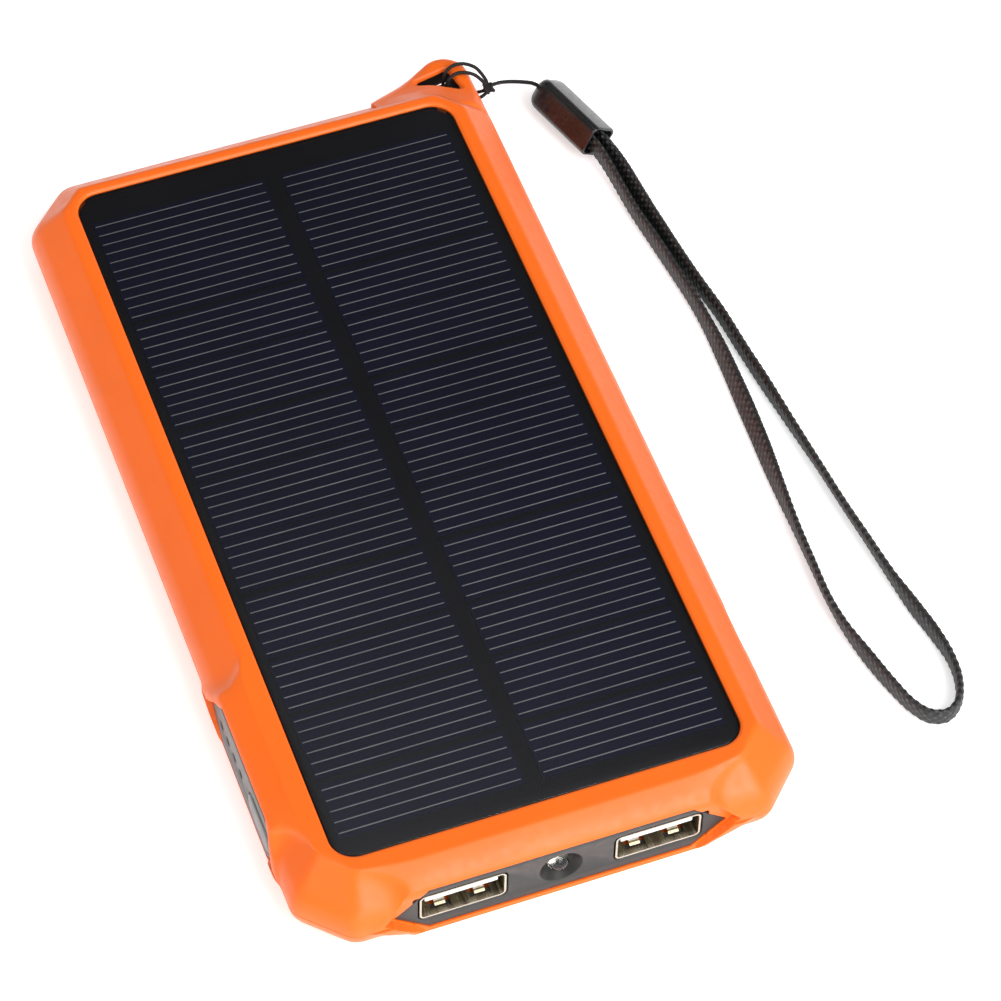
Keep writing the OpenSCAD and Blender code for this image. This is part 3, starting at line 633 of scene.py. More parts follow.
def build_shells():
    global EYE
    top = half_shell("top_case", True)
    bot = half_shell("bottom_case", False)
    # lug, its upper and lower edges rounded over
    c = np.array([HX - 4.75, 75.5 - 4.4])
    n = np.array([-0.517, 0.856])
    t = np.array([-0.856, -0.517])

    def lug_outline(g):
        r = 4.4 - g
        a0, a1 = 0.0, math.atan2(n[1], n[0])
        arc = [c + r * np.array([math.cos(a), math.sin(a)]) for a in np.linspace(a0, a1, 44)]
        far = c + r * n + 13.2 * t
        run = [c + r * n + (far - c - r * n) * k / 30 for k in range(1, 31)]
        side = [np.array([c[0] + r, 61.0 + (c[1] - 61.0) * k / 24]) for k in range(0, 24)]
        return np.array(arc + run + [np.array([22.6, 61.0])] + side)

    def lug_f(x, y, z):
        v = np.stack([x - c[0], y - c[1]], -1)
        d1, d2 = v @ n, v[..., 0]
        ang = np.arctan2(v[..., 1], v[..., 0])
        tip = (ang > 0) & (ang < math.atan2(n[1], n[0]))
        side = np.where(tip, np.hypot(v[..., 0], v[..., 1]), np.maximum(d1, d2)) - 4.4
        return smax(side, z - (ZM + 3.3), 2.0)

    def flank(x, z):
        e, h = x - (HX - NR), z - ZM
        _, th = side_terms(HX - NR, HX - NR + 0.18)
        return np.where(np.arctan2(h, e) < th, np.hypot(e, h) - NR, e * math.cos(th) + h * math.sin(th) - NR) + 0.04

    z0 = ZM + 0.02
    o0 = lug_outline(0.0)
    mid = np.array([31.6, 68.0])
    rings = [at_z(lug_outline(0.12), z0), at_z(o0, z0 + 0.12)]
    for u in [0.0005, 0.004, 0.012, 0.025, 0.04, 0.055, 0.075, 0.095, 0.12] + list(np.linspace(0.15, 0.97, 34)):
        q = mid + (o0 - mid) * (1 - u)
        lo, hi = np.full(len(q), z0 + 0.13), np.full(len(q), TOP + 0.2)
        for _ in range(30):
            md = (lo + hi) / 2
            P = np.c_[q, md]
            ins = smax(smin(body_f(P, False) + 0.03, lug_f(P[:, 0], P[:, 1], P[:, 2]), 4.0), flank(P[:, 0], P[:, 2]), 0.3) < 0
            lo, hi = np.where(ins, md, lo), np.where(ins, hi, md)
        rings.append(np.c_[q, lo])
    lug = loft("lug", rings)
    boolean(top, [lug], "UNION")
    drop(lug)
    # panel recess, its rim edge rolled
    rings = []
    for z, g in [(12.8, 0), (14.7, 0), (14.79, 0.012), (14.88, 0.05), (14.97, 0.12), (15.05, 0.22), (15.12, 0.34), (15.17, 0.47), (15.21, 0.64), (15.6, 0.75)]:
        o = round_poly(rect(62.6 + 2 * g, 129.3 + 2 * g), 3.8 + g, 14)
        o[:, 1] += YP
        rings.append(at_z(o, z))
    recess = loft("recess", rings)
    # eye through lug and casing, with eased edges
    eye = [(27.6, 70.9), (36.0, 67.1), (34.8, 72.4)]
    rings = []
    cen = np.mean(eye, axis=0)
    for z, g in [(-1.0, 0), (ZM + 0.02, 0.0), (9.95, 0.0), (10.2, 0.03), (10.45, 0.1), (10.65, 0.22), (10.82, 0.4), (10.95, 0.62), (16.5, 0.8)]:
        o = round_poly(eye, 0.75 + 0.0 * g, 10)
        v = o - cen
        o = cen + v * (1 + g / 2.4)
        rings.append(at_z(o, z))
    eyeo = loft("eye", rings)
    cuts = [recess, eyeo]
    # bezel pockets and windows
    for q in (round_poly(hexa(25.5, 20.1, 4.95), 0.25, 3),):
        cuts.append(loft("pk1", [on_front(q, FACE_Y - 3, ZM), on_front(q, FACE_Y + 2.2, ZM)]))
    w = round_poly(rect(45.2, 6.9), 0.4, 3)
    cuts.append(loft("pk2", [on_front(w, FACE_Y, 7.85), on_front(w, FACE_Y + 6, 7.85)]))
    q = round_poly(hexa(15, 10, 4.95), 0.25, 3)
    cuts.append(loft("pk3", [on_left(q, FACE_X - 3, CTL_Y, ZM), on_left(q, FACE_X + 2.2, CTL_Y, ZM)]))
    w = round_poly(rect(12.4, 7), 0.4, 3)
    cuts.append(loft("pk4", [on_left(w, FACE_X, BTN_Y, ZM), on_left(w, FACE_X + 5, BTN_Y, ZM)]))
    w = round_poly(rect(13.2, 3.4), 0.4, 3)
    cuts.append(loft("pk5", [on_left(w, FACE_X, LED0 + 1.5 * LEDP, ZM), on_left(w, FACE_X + 5, LED0 + 1.5 * LEDP, ZM)]))
    # charging input recess, its mouth eased
    rings = []
    for x, g in [(37.2, 0), (37.9, 0), (38.2, 0.04), (38.45, 0.14), (38.65, 0.3), (38.85, 0.55), (42, 0.8)]:
        rings.append(on_left(obround(12.4 + 2 * g, 7.6 + 2 * g), x, IN_Y, BT + 1.3))
    cuts.append(loft("pk6", rings))
    w = round_poly(rect(8, 3.1), 0.5, 4)
    cuts.append(loft("pk7", [on_left(w, 33, IN_Y, BT + 1.3), on_left(w, 40, IN_Y, BT + 1.3)]))
    cav = prism_z("cav1", inner_plan(35, FACE_Y + 3.5, BACK - 4.1, 98.1), 3.6, 11.7)
    boolean(top, cuts[:1] + cuts[1:] + [cav])
    boss = [cyl("bs", x, y, ZM + 0.02, 12.2, 2.6) for x, y in BOSS]
    boolean(top, boss, "UNION")
    pil = [cyl("pl", x, y, ZM - 1, 10.9, 1.02, 24) for x, y in BOSS]
    boolean(top, pil)
    drop(*boss, *pil)
    cav2 = prism_z("cav2", inner_plan(33, PF - 1.6, BACK - 6.4, 95.5), 1.8, 3.8)
    boolean(bot, cuts[1:] + [cav, cav2])
    boss = [cyl("bs", x, y, 1.0, ZM - 0.02, 2.6) for x, y in BOSS]
    boolean(bot, boss, "UNION")
    pil = []
    for x, y in BOSS:
        pil.append(cyl("pl", x, y, -1, 12, 1.2, 28))
        a = np.linspace(0, 2 * math.pi, 40, endpoint=False)
        ring = lambda r, z: np.c_[x + r * np.cos(a), y + r * np.sin(a), np.full(40, z)]
        pil.append(loft("cb", [ring(2.5, -0.3), ring(2.4, 0.0), ring(2.2, 0.12), ring(2.1, 0.35), ring(2.1, 1.9)]))
    boolean(bot, pil)
    drop(*boss, *pil, *cuts, cav, cav2)
    for o in (top, bot):
        sharpen(o, 30)
        wn = o.modifiers.new("wn", "WEIGHTED_NORMAL")
        wn.keep_sharp = True
        wn.mode = "FACE_AREA"
    place(top, ORANGE, ["top_shell"])
    place(bot, ORANGE, ["bottom_shell"])
    # painted shade: near-black colour on the inner cavity walls of the two halves, where shade falls
    for o in (top, bot):
        o.data.materials.append(PAINTED_SHADE)
        for f in o.data.polygons:
            x, y, z = (v / MM for v in f.center)
            deep = 1.75 < z < 4.0 and f.normal.z > -0.5 and abs(x) < 33.2 and PF - 1.7 < y < BACK - 6.3
            if (3.5 < z < 11.8 or deep) and -35.1 < x < 35.1 and FACE_Y + 2.21 < y < BACK - 4 and abs(x) + abs(y - YP) < 98.2:
                f.material_index = 1
            # the eye's inner walls get the painted shade too, so the hole reads black
            if 27.2 < x < 36.3 and 66.8 < y < 72.8 and z < 10.3 and abs(f.normal.z) < 0.3 and math.hypot(x - cen[0], y - cen[1]) < 4.9:
                f.material_index = 1
    return top, bot


top_case, bottom_case = build_shells()


# ------------------------------------------------------------------ bezels
def edge_loft(name, outline_fn, depths, put):
    """Plate with eased front edge: outline_fn(inset) gives the outline, depths is [(depth, inset)]."""
    return loft(name, [put(outline_fn(g), d) for d, g in depths])


def build_port_bezel():
    def hx(g):
        return round_poly(hexa(25.34 - g * 1.25, 20.05 - g * 0.6, 4.83 - g), 0.3, 4)

    y = FACE_Y
    ob = edge_loft("port_plate", hx, [(y + 0.08, 0.22), (y + 0.10, 0.10), (y + 0.17, 0.03), (y + 0.30, 0.0), (y + 2.2, 0.0)],
                   lambda o, d: on_front(o, d, ZM))
    cuts = []
    for s in (-1, 1):
        rings = []
        for d, g in [(-1, 0.35), (0.08, 0.2), (0.12, 0.1), (0.2, 0.03), (0.32, 0), (4, 0)]:
            rings.append(on_front(round_poly(rect(13.6 + 2 * g, 6.2 + 2 * g), 1.1 + g, 6), y + d, PORT_Z, s * PORT_X))
        cuts.append(loft("c", rings))
    a = np.linspace(0, 2 * math.pi, 64, endpoint=False)
    ring = lambda r, d: np.c_[r * np.cos(a), np.full(64, y + d), TORCH_Z + r * np.sin(a)]
    prof = [(4.2, -0.6), (3.42, 0.08), (3.3, 0.14), (3.2, 0.26), (2.75, 0.8), (2.35, 1.35), (2.12, 1.6), (2.0, 1.66), (1.9, 1.72), (1.85, 1.85), (1.85, 4)]
    cuts.append(loft("c", [ring(r, d) for r, d in prof]))
    boolean(ob, cuts)
    drop(*cuts)
    sharpen(ob, 34)
    place(ob, BEZEL, ["port_bezel"])
    # the walls of the torch recess get the darker grey as painted shade
    ob.data.materials.append(RECESS_PAINTED_SHADE)
    for f in ob.data.polygons:
        x, yy, z = (v / MM for v in f.center)
        if math.hypot(x, z - TORCH_Z) < 3.35 and yy > FACE_Y + 0.1 and abs(f.normal.y) < 0.97:
            f.material_index = 1


def build_control_bezel():
    def hx(g):
        return round_poly(hexa(14.84 - g * 1.25, 9.95 - g * 0.6, 4.83 - g), 0.3, 4)

    x = FACE_X
    ob = edge_loft("control_plate", hx, [(x + 0.05, 0.22), (x + 0.07, 0.10), (x + 0.14, 0.03), (x + 0.27, 0.0), (x + 2.2, 0.0)],
                   lambda o, d: on_left(o, d, CTL_Y, ZM))
    cuts = []
    rings = []
    for d, g in [(-1, 0.3), (0.05, 0.14), (0.09, 0.07), (0.17, 0.02), (0.28, 0), (4, 0)]:
        rings.append(on_left(obround(10.3 + 2 * g, 4.9 + 2 * g), x + d, BTN_Y, ZM))
    cuts.append(loft("c", rings))
    a = np.linspace(0, 2 * math.pi, 28, endpoint=False)
    for i in range(4):
        rings = []
        for d, r in [(-1, 1.05), (0.05, 0.95), (0.09, 0.88), (0.18, 0.81), (0.26, 0.8), (4, 0.8)]:
            rings.append(np.c_[np.full(28, x + d), LED0 + i * LEDP + r * np.cos(a), ZM + r * np.sin(a)])
        cuts.append(loft("c", rings))
    boolean(ob, cuts)
    drop(*cuts)
    sharpen(ob, 34)
    # the side bezel takes the paler, painted-light grey
    place(ob, BEZEL_PAINTED_LIT, ["control_bezel"])


def build_button():
    x = FACE_X
    rings = []
    # softly crowned cap, then the retaining flange and boss behind it
    for d, g in [(-0.30, 2.19), (-0.295, 1.6), (-0.28, 1.1), (-0.245, 0.62), (-0.19, 0.34), (-0.1, 0.15), (0.0, 0.05), (0.12, 0.0), (2.5, 0.0),
                 (2.5, -0.9), (3.1, -0.9), (3.1, 0.7), (3.1, 0.7)]:
        rings.append(on_left(obround(9.8 - 2 * g, 4.4 - 2 * g), x + d, BTN_Y, ZM))
    a = np.concatenate([np.linspace(-90, 90, 17), np.linspace(90, 270, 17)])
    for d in (3.1, 3.75):
        rings.append(np.c_[np.full(34, x + d), BTN_Y + 1.5 * np.cos(np.radians(a)), ZM + 1.5 * np.sin(np.radians(a))])
    ob = loft("button_cap", rings)
    bm = bmesh.new()
    bm.from_mesh(ob.data)
    bmesh.ops.remove_doubles(bm, verts=bm.verts, dist=1e-7)
    bmesh.ops.recalc_face_normals(bm, faces=bm.faces)
    bm.to_mesh(ob.data)
    bm.free()
    sharpen(ob, 34)
    place(ob, BUTTON, ["power_button"], body="button")


build_port_bezel()
build_control_bezel()
build_button()


# ------------------------------------------------------------------ clear laminate over the cells
def build_cover():
    rings = []
    for z, g in [(14.2, 1.0), (13.94, 1.0), (13.93, 0.02), (13.96, 0.0), (14.70, 0.0), (14.76, 0.02), (14.79, 0.05), (14.80, 0.10)]:
        o = round_poly(rect(62.3 - 2 * g, 129.0 - 2 * g), 3.65 - g, 14)
        o[:, 1] += YP
        rings.append(at_z(o, z))
    ob = loft("panel_laminate", rings)
    sharpen(ob, 40)
    place(ob, COVER, ["panel_cover"])
    ob.data.materials.append(FILM)
    ob.data.materials.append(PBACK)
    for f in ob.data.polygons:
        if f.normal.z < 0.5:
            f.material_index = 1 if f.normal.z < -0.5 or max(abs(f.center.x / MM) - 31.15, abs(f.center.y / MM - YP) - 64.5) < -0.6 else 2


build_cover()


def boxes(name, bs):
    V, F = [], []
    for x0, x1, y0, y1, z0, z1 in bs:
        k = len(V)
        V += [(x, y, z) for z in (z0, z1) for x, y in ((x0, y0), (x1, y0), (x1, y1), (x0, y1))]
        F += [tuple(k + i for i in q) for q in ((0, 3, 2, 1), (4, 5, 6, 7), (0, 1, 5, 4), (1, 2, 6, 5), (2, 3, 7, 6), (3, 0, 4, 7))]
    return new_mesh(name, V, F, smooth=False)


GROUPS = [[6, 123.2], [5, 111.7], [5, 101.4], [6, 91.5], [5, 79.2], [6, 69.3], [5, 57.6], [6, 47.1], [5, 35.1], [6, 24.95], [5, 12.55]]


def build_fingers():
    bs = []
    for count, top in GROUPS:
        for i in range(count):
            y = PF + top - i * 1.915
            for x0 in (1.65, -29.35):
                bs.append((x0, x0 + 27.5, y - 0.075, y + 0.075, 14.09, 14.14))
    place(boxes("finger_lines", bs), FINGER, ["cell_fingers"])


def build_tongues():
    for nm, x in (("left", -PORT_X), ("right", PORT_X)):
        y0, g = FACE_Y + 0.15, 0.09
        rings = []
        for y, e in [(y0 + 0.74, g), (y0 + 0.78, g * 0.4), (y0 + 0.86, 0.0), (y0 + 10.02, 0.0)]:
            rings.append(on_front(round_poly(rect(11.1 - 2 * e, 1.67 - 2 * e), 0.12, 3), y, PORT_Z + 1.115, x))
        rings += [on_front(round_poly(rect(12.2, 4.85), 0.8, 3), y0 + 10.02, PORT_Z, x), on_front(round_poly(rect(12.2, 4.85), 0.8, 3), y0 + 13.55, PORT_Z, x)]
        ob = loft("socket_tongue_" + nm, rings)
        sharpen(ob, 40)
        place(ob, PALEP, ["usb_%s_tongue" % nm])


build_fingers()
build_tongues()


# ------------------------------------------------------------------ torch lamp
def build_torch():
    y = FACE_Y
    a = np.linspace(0, 2 * math.pi, 56, endpoint=False)
    ring = lambda r, d: np.c_[r * np.cos(a), np.full(56, y + d), TORCH_Z + r * np.sin(a)]
    prof = [(0.02, -0.1)]
    for k in range(1, 13):
        t = math.radians(90 * k / 12)
        prof.append((1.7 * math.sin(t), 1.6 - 1.7 * math.cos(t)))
    prof += [(1.7, 4.6), (2.05, 4.6), (2.05, 5.6), (0.02, 5.6)]
    ob = loft("torch_lens", [ring(r, d) for r, d in prof])
    sharpen(ob, 40)
    place(ob, FROST, ["torch_led"])
    # reflector cup and phosphor seen inside the clear body
    prof = [(0.02, 2.75), (0.55, 2.75), (0.62, 2.7), (1.25, 2.15), (1.3, 2.12), (1.35, 2.2), (1.35, 4.9), (0.02, 4.9)]
    ob = loft("torch_cup", [ring(r, d) for r, d in prof])
    sharpen(ob, 30)
    place(ob, STEEL)
    prof = [(0.02, 2.55), (0.25, 2.57), (0.45, 2.63), (0.54, 2.73), (0.54, 2.76), (0.02, 2.76)]
    ob = loft("torch_phosphor", [ring(r, d) for r, d in prof])
    sharpen(ob, 60)
    place(ob, plastic("phosphor", (0.75, 0.55, 0.08), 0.6, var=0.1))


build_torch()


# ------------------------------------------------------------------ strap, ferrule and cord
def spline(pts, step, closed=False):
    """Catmull-Rom through pts (centripetal), resampled evenly."""
    P = np.asarray(pts, float)
    out = []
    n = len(P)
    for i in range(n - 1):
        p0 = P[i - 1] if i else 2 * P[0] - P[1]
        p1, p2 = P[i], P[i + 1]
        p3 = P[i + 2] if i + 2 < n else 2 * P[-1] - P[-2]
        t1 = np.linalg.norm((p1 - p0)[:3]) ** 0.5
        t2 = t1 + np.linalg.norm((p2 - p1)[:3]) ** 0.5
        t3 = t2 + np.linalg.norm((p3 - p2)[:3]) ** 0.5
        for t in np.linspace(t1, t2, 24, endpoint=False):
            A1 = (t1 - t) / t1 * p0 + t / t1 * p1
            A2 = (t2 - t) / (t2 - t1) * p1 + (t - t1) / (t2 - t1) * p2
            A3 = (t3 - t) / (t3 - t2) * p2 + (t - t2) / (t3 - t2) * p3
            B1 = (t2 - t) / t2 * A1 + t / t2 * A2
            B2 = (t3 - t) / (t3 - t1) * A2 + (t - t1) / (t3 - t1) * A3
            out.append((t2 - t) / (t2 - t1) * B1 + (t - t1) / (t2 - t1) * B2)
    out.append(P[-1])
    out = np.array(out)
    d = np.r_[0, np.cumsum(np.linalg.norm(np.diff(out[:, :3], axis=0), axis=1))]
    m = max(2, int(round(d[-1] / step)) + 1)
    s = np.linspace(0, d[-1], m)
    return np.stack([np.interp(s, d, out[:, k]) for k in range(out.shape[1])], 1), s


# x, y at mid height of the standing strap, roll from flat (degrees), from the ferrule round the loop and back
STRAP = [
    (53.05, 58.4, 3.4, 86), (54.2, 55.0, 3.4, 85), (54.8, 52.0, 3.1, 86), (55.3, 47.5, 2.55, 88), (55.9, 41.0, 2.0, 88),
    (56.8, 34.0, 1.9, 85), (57.6, 27.0, 1.8, 85), (58.2, 21.0, 1.8, 84), (58.5, 15.0, 1.7, 78), (58.5, 8.0, 1.6, 67), (58.2, 0, 1.6, 60),
    (57.8, -8.0, 1.6, 59), (57.2, -16.5, 1.65, 71), (56.7, -25.0, 1.75, 91), (56.4, -33.0, 1.8, 99), (56.2, -40.0, 1.8, 104),
    (56.6, -46.0, 1.8, 97), (57.7, -52.0, 1.8, 85), (59.2, -58.3, 1.8, 89), (60.6, -62.4, 1.8, 92), (62.4, -64.8, 1.8, 92),
    (64.8, -65.4, 1.8, 92), (67.2, -63.8, 1.8, 90), (68.8, -60.3, 1.8, 88), (69.3, -56.0, 1.8, 87), (68.8, -51.0, 1.8, 95),
    (67.8, -45.5, 1.8, 97), (66.9, -39.5, 1.8, 84), (66.1, -32.0, 1.8, 77), (65.3, -25.0, 1.8, 74), (64.5, -16.5, 1.8, 76),
    (63.6, -8.0, 1.8, 85), (62.7, 1.0, 1.8, 94), (61.9, 9.0, 1.8, 95), (61.2, 17.0, 1.8, 95), (60.0, 24.5, 1.8, 98),
    (59.05, 31.5, 1.85, 106), (58.2, 38.5, 2.0, 112), (57.5, 45.0, 2.35, 114), (56.8, 51.0, 2.8, 110), (55.85, 55.6, 3.25, 98), (54.9, 58.9, 3.4, 86)]
SW, ST = 3.5, 1.15


def build_strap():
    pts = np.array(STRAP, float)
    P, s = spline(pts, 0.125)
    roll = np.radians(P[:, 3])
    C = P[:, :3]
    T = np.gradient(C, axis=0)
    T /= np.linalg.norm(T, axis=1)[:, None]
    U = np.array([0, 0, 1.0])
    R = np.cross(T, U)
    R /= np.linalg.norm(R, axis=1)[:, None]
    Up = np.cross(R, T)
    # the strap keeps one face to the inside of its loop
    Wd = np.cos(roll)[:, None] * R * -1 + np.sin(roll)[:, None] * Up
    Td = np.cross(T, Wd)
    n = 64
    a = np.linspace(0, 2 * math.pi, n, endpoint=False)
    ca, sa = np.cos(a), np.sin(a)
    ex = 0.62
    u = np.sign(ca) * np.abs(ca) ** ex * SW / 2
    v = np.sign(sa) * np.abs(sa) ** 0.9 * ST / 2
    # arc length round the section
    pu = np.r_[u, u[0]]
    pv = np.r_[v, v[0]]
    al = np.r_[0, np.cumsum(np.hypot(np.diff(pu), np.diff(pv)))]
    per = al[-1]
    q = al[:-1] / per
    K = 12  # yarns each way round the tube
    pitch = 7.8  # length of one full turn of a yarn over K
    S, Q = np.meshgrid(s, q, indexing="ij")
    A = (S / pitch + Q) * K / 2
    B = (S / pitch - Q) * K / 2
    ia, ib = np.floor(A), np.floor(B)
    fa, fb = A - ia, B - ib
    over = ((ia + ib) % 2) < 1
    ea, eb = np.sin(np.pi * fa), np.sin(np.pi * fb)
    h = np.where(over, ea ** 0.8 * eb ** 0.45, eb ** 0.8 * ea ** 0.45)
    disp = 0.17 * (h - 0.62)
    nu = ca * np.abs(ca) ** 0.2 / SW * 2
    nv = sa / ST * 2
    nl = np.hypot(nu, nv)
    nu, nv = nu / nl, nv / nl
    # slow waviness of a used strap
    wob = 0.05 * np.sin(s * 0.55) + 0.04 * np.sin(s * 0.23 + 1)
    UU = u[None, :] * (1 + wob[:, None] * 0.25) + nu[None, :] * disp
    VV = v[None, :] + nv[None, :] * disp
    P3 = C[:, None, :] + UU[..., None] * Wd[:, None, :] + VV[..., None] * Td[:, None, :]
    zmin = P3[..., 2].min(1)
    lift = np.maximum(0, 0.03 - zmin)
    k = np.ones(41) / 41
    lift = np.convolve(np.pad(lift, 20, mode="edge"), k, "valid")
    P3[..., 2] += lift[:, None]
    C2 = C.copy()
    C2[:, 2] += lift
    P3[..., 2] = np.maximum(P3[..., 2], 0.02)
    ob = loft("strap_braid", list(P3))
    me = ob.data
    at = me.attributes.new("yarn", "FLOAT", "POINT")
    at.data.foreach_set("value", h.ravel().astype(np.float32))
    uv = me.uv_layers.new(name="braid")
    M, Nn = len(s), n
    su = np.repeat(s, Nn)
    qv = np.tile(q * per, M)
    li = np.empty(len(me.loops), int)
    me.loops.foreach_get("vertex_index", li)
    co = np.stack([su[li], qv[li]], 1)
    # loops of the quads that close the ring take the far side of the seam
    ps = np.empty(len(me.polygons), int)
    pt = np.empty(len(me.polygons), int)
    me.polygons.foreach_get("loop_start", ps)
    me.polygons.foreach_get("loop_total", pt)
    quad = ps[pt == 4]
    idx = quad[:, None] + np.arange(4)[None]
    vv = co[idx, 1]
    wrap = (vv.max(1) - vv.min(1)) > per / 2
    fix = idx[wrap]
    co[fix, 1] = np.where(co[fix, 1] < per / 4, co[fix, 1] + per, co[fix, 1])
    uv.data.foreach_set("uv", (co / 10.0).ravel())
    return ob, C2, s[-1]


def braid_mat():
    mt, nt, out = mat_new("black_braid")
    p = principled(nt, out, Roughness=0.5)
    p.inputs["Specular IOR Level"].default_value = 0.6
    oc = coord(nt)
    n = noise(nt, oc, 1300, 3)
    at = nt.nodes.new("ShaderNodeAttribute")
    at.attribute_name = "yarn"
    # painted shade and highlight: by yarn height, the weave's crevices are painted near black and the yarn crowns
    # lighter
    deep = ramp(nt, at.outputs["Fac"], [(0.35, gray(0.0010)), (0.75, (0.0064, 0.0066, 0.0070)), (0.97, (0.050, 0.051, 0.053))])
    worn = ramp(nt, n, [(0.35, gray(0.35)), (0.6, gray(1.0)), (0.75, gray(2.4))])
    mx = nt.nodes.new("ShaderNodeMix")
    mx.data_type = "RGBA"
    mx.blend_type = "MULTIPLY"
    mx.inputs[0].default_value = 1.0
    link(nt, deep, mx.inputs[6])
    link(nt, worn, mx.inputs[7])
    link(nt, mx.outputs[2], p.inputs["Base Color"])
    w = nt.nodes.new("ShaderNodeTexWave")
    w.wave_type = "BANDS"
    w.bands_direction = "DIAGONAL"
    w.inputs["Scale"].default_value = 26
    w.inputs["Distortion"].default_value = 1.5
    uvn = nt.nodes.new("ShaderNodeTexCoord")
    link(nt, uvn.outputs["UV"], w.inputs["Vector"])
    b1 = bump(nt, w.outputs[1], 0.3, 4e-5, None)
    bump(nt, n, 0.4, 5e-5, p, b1)
    return mt


BRAID = braid_mat()
strap, strap_c, strap_len = build_strap()
place(strap, BRAID, ["wrist_strap"])


def ferrule_mat():
    mt, nt, out = mat_new("gloss_ferrule")
    p = principled(nt, out, Roughness=0.22)
    p.inputs["Coat Weight"].default_value = 0.3
    p.inputs["Coat Roughness"].default_value = 0.1
    oc = coord(nt)
    link(nt, ramp(nt, noise(nt, oc, 200, 3), [(0.3, (0.008, 0.007, 0.007)), (0.7, (0.013, 0.012, 0.012))]), p.inputs["Base Color"])
    link(nt, ramp(nt, noise(nt, oc, 1200, 3), [(0.35, gray(0.2)), (0.65, gray(0.3))]), p.inputs["Roughness"])
    bump(nt, noise(nt, oc, 1800, 3), 0.06, 2e-5, p)
    return mt


FERRULE = ferrule_mat()
FA, FB = np.array([50.5, 69.2, 3.4]), np.array([55.1, 55.3, 3.4])


def build_ferrule():
    d = FB - FA
    L = np.linalg.norm(d)
    d /= L
    r0 = np.cross(d, [0, 0, 1.0])
    r0 /= np.linalg.norm(r0)
    u0 = np.cross(r0, d)
    # section axes rolled about the length
    ro = math.radians(38)
    r = r0 * math.cos(ro) + u0 * math.sin(ro)
    u = np.cross(r, d)

    def sect(w, h, rad, t, n=7):
        o = round_poly(rect(w, h), rad, n)
        return FA + d * t + o[:, :1] * r + o[:, 1:] * u

    rings = []
    hw = 5.35
    # the entry hole and the rounded cord end
    for t, w in [(2.6, 2.2), (0.35, 2.2), (0.12, 2.3), (0.03, 2.55), (0.0, 2.9)]:
        rings.append(sect(w, w, w / 2 - 0.02, t))
    for k in range(1, 9):
        a = math.radians(90 * k / 8)
        w = 2.9 + (hw - 2.9) * math.sin(a)
        rings.append(sect(w, w, 1.4 + 0.0 * k - 0.3 * k / 8, 2.0 * (1 - math.cos(a))))
    for t in (3.0, 5, 7, 9, 11, 12.8, 14.2):
        rings.append(sect(hw, hw, 1.05, t))
    rings += [sect(hw - 0.03, hw - 0.03, 1.04, L - 0.12), sect(hw - 0.12, hw - 0.12, 1.0, L - 0.03), sect(hw - 0.26, hw - 0.26, 0.95, L),
              sect(hw - 0.60, hw - 0.60, 0.85, L), sect(hw - 0.76, hw - 0.76, 0.8, L - 0.05), sect(hw - 0.86, hw - 0.86, 0.75, L - 0.18)]
    for t in (L - 1, L - 4, L - 8, 2.9, 2.6):
        rings.append(sect(4.45, 4.45, 0.75, t))
    ob = loft("ferrule", rings, closed=True)
    sharpen(ob, 50)
    place(ob, FERRULE, ["strap_ferrule"])
    return ob


ferrule = build_ferrule()

LOOP_A = [[40.8, 68.7, 8.4], [40.6, 69.2, 9.2], [40.1, 69.8, 10.2], [39.3, 70.6, 11.2], [38.0, 71.5, 11.6], [36.6, 71.9, 11.7],
          [35.3, 71.7, 11.6], [34.3, 71.2, 11.2], [33.8, 70.8, 10.2], [33.7, 70.6, 9.2], [33.9, 70.5, 7.9], [34.6, 70.4, 6.9], [35.8, 70.2, 6.6],
          [37.4, 69.8, 6.6], [39.0, 69.2, 6.8], [40.3, 68.7, 7.4]]
LOOP_B = [[40.5, 68.4, 8.5], [40.1, 68.5, 9.3], [39.5, 68.7, 10.3], [38.5, 69.2, 11.3], [37.3, 69.8, 11.6], [36.1, 70.1, 11.6],
          [35.0, 69.9, 11.5], [34.2, 69.6, 10.9], [33.9, 69.5, 10.1], [33.9, 69.4, 9.2], [34.1, 69.3, 7.8], [34.8, 69.1, 6.9], [36.0, 68.7, 6.6],
          [37.4, 68.3, 6.6], [39.0, 67.9, 6.8], [40.3, 68.1, 7.4]]
TUCK = [[30.2, 70.7, 9.3], [30.9, 70.9, 8.5], [32.2, 71.2, 8.05], [33.6, 71.3, 7.95], [34.4, 71.2, 7.95], [34.75, 70.75, 7.95],
        [34.5, 70.15, 7.95], [33.85, 70.0, 7.95], [32.9, 70.25, 8.0], [32.1, 70.5, 8.2], [31.3, 70.3, 8.8], [31.6, 69.9, 9.5], [32.6, 69.5, 9.3], [33.1, 69.3, 8.5]]
TAIL_A = [[40.9, 68.5, 8.4], [42.9, 68.8, 8.2], [44.5, 69.1, 7.5], [46.1, 69.4, 6.6], [47.6, 69.7, 5.6],
          [48.9, 69.8, 4.8], [49.9, 69.4, 4.2], [50.5, 68.4, 3.9], [51.0, 66.7, 3.9]]
TAIL_B = [[x + 0.14, y + 0.35, z - 0.52] for x, y, z in TAIL_A]


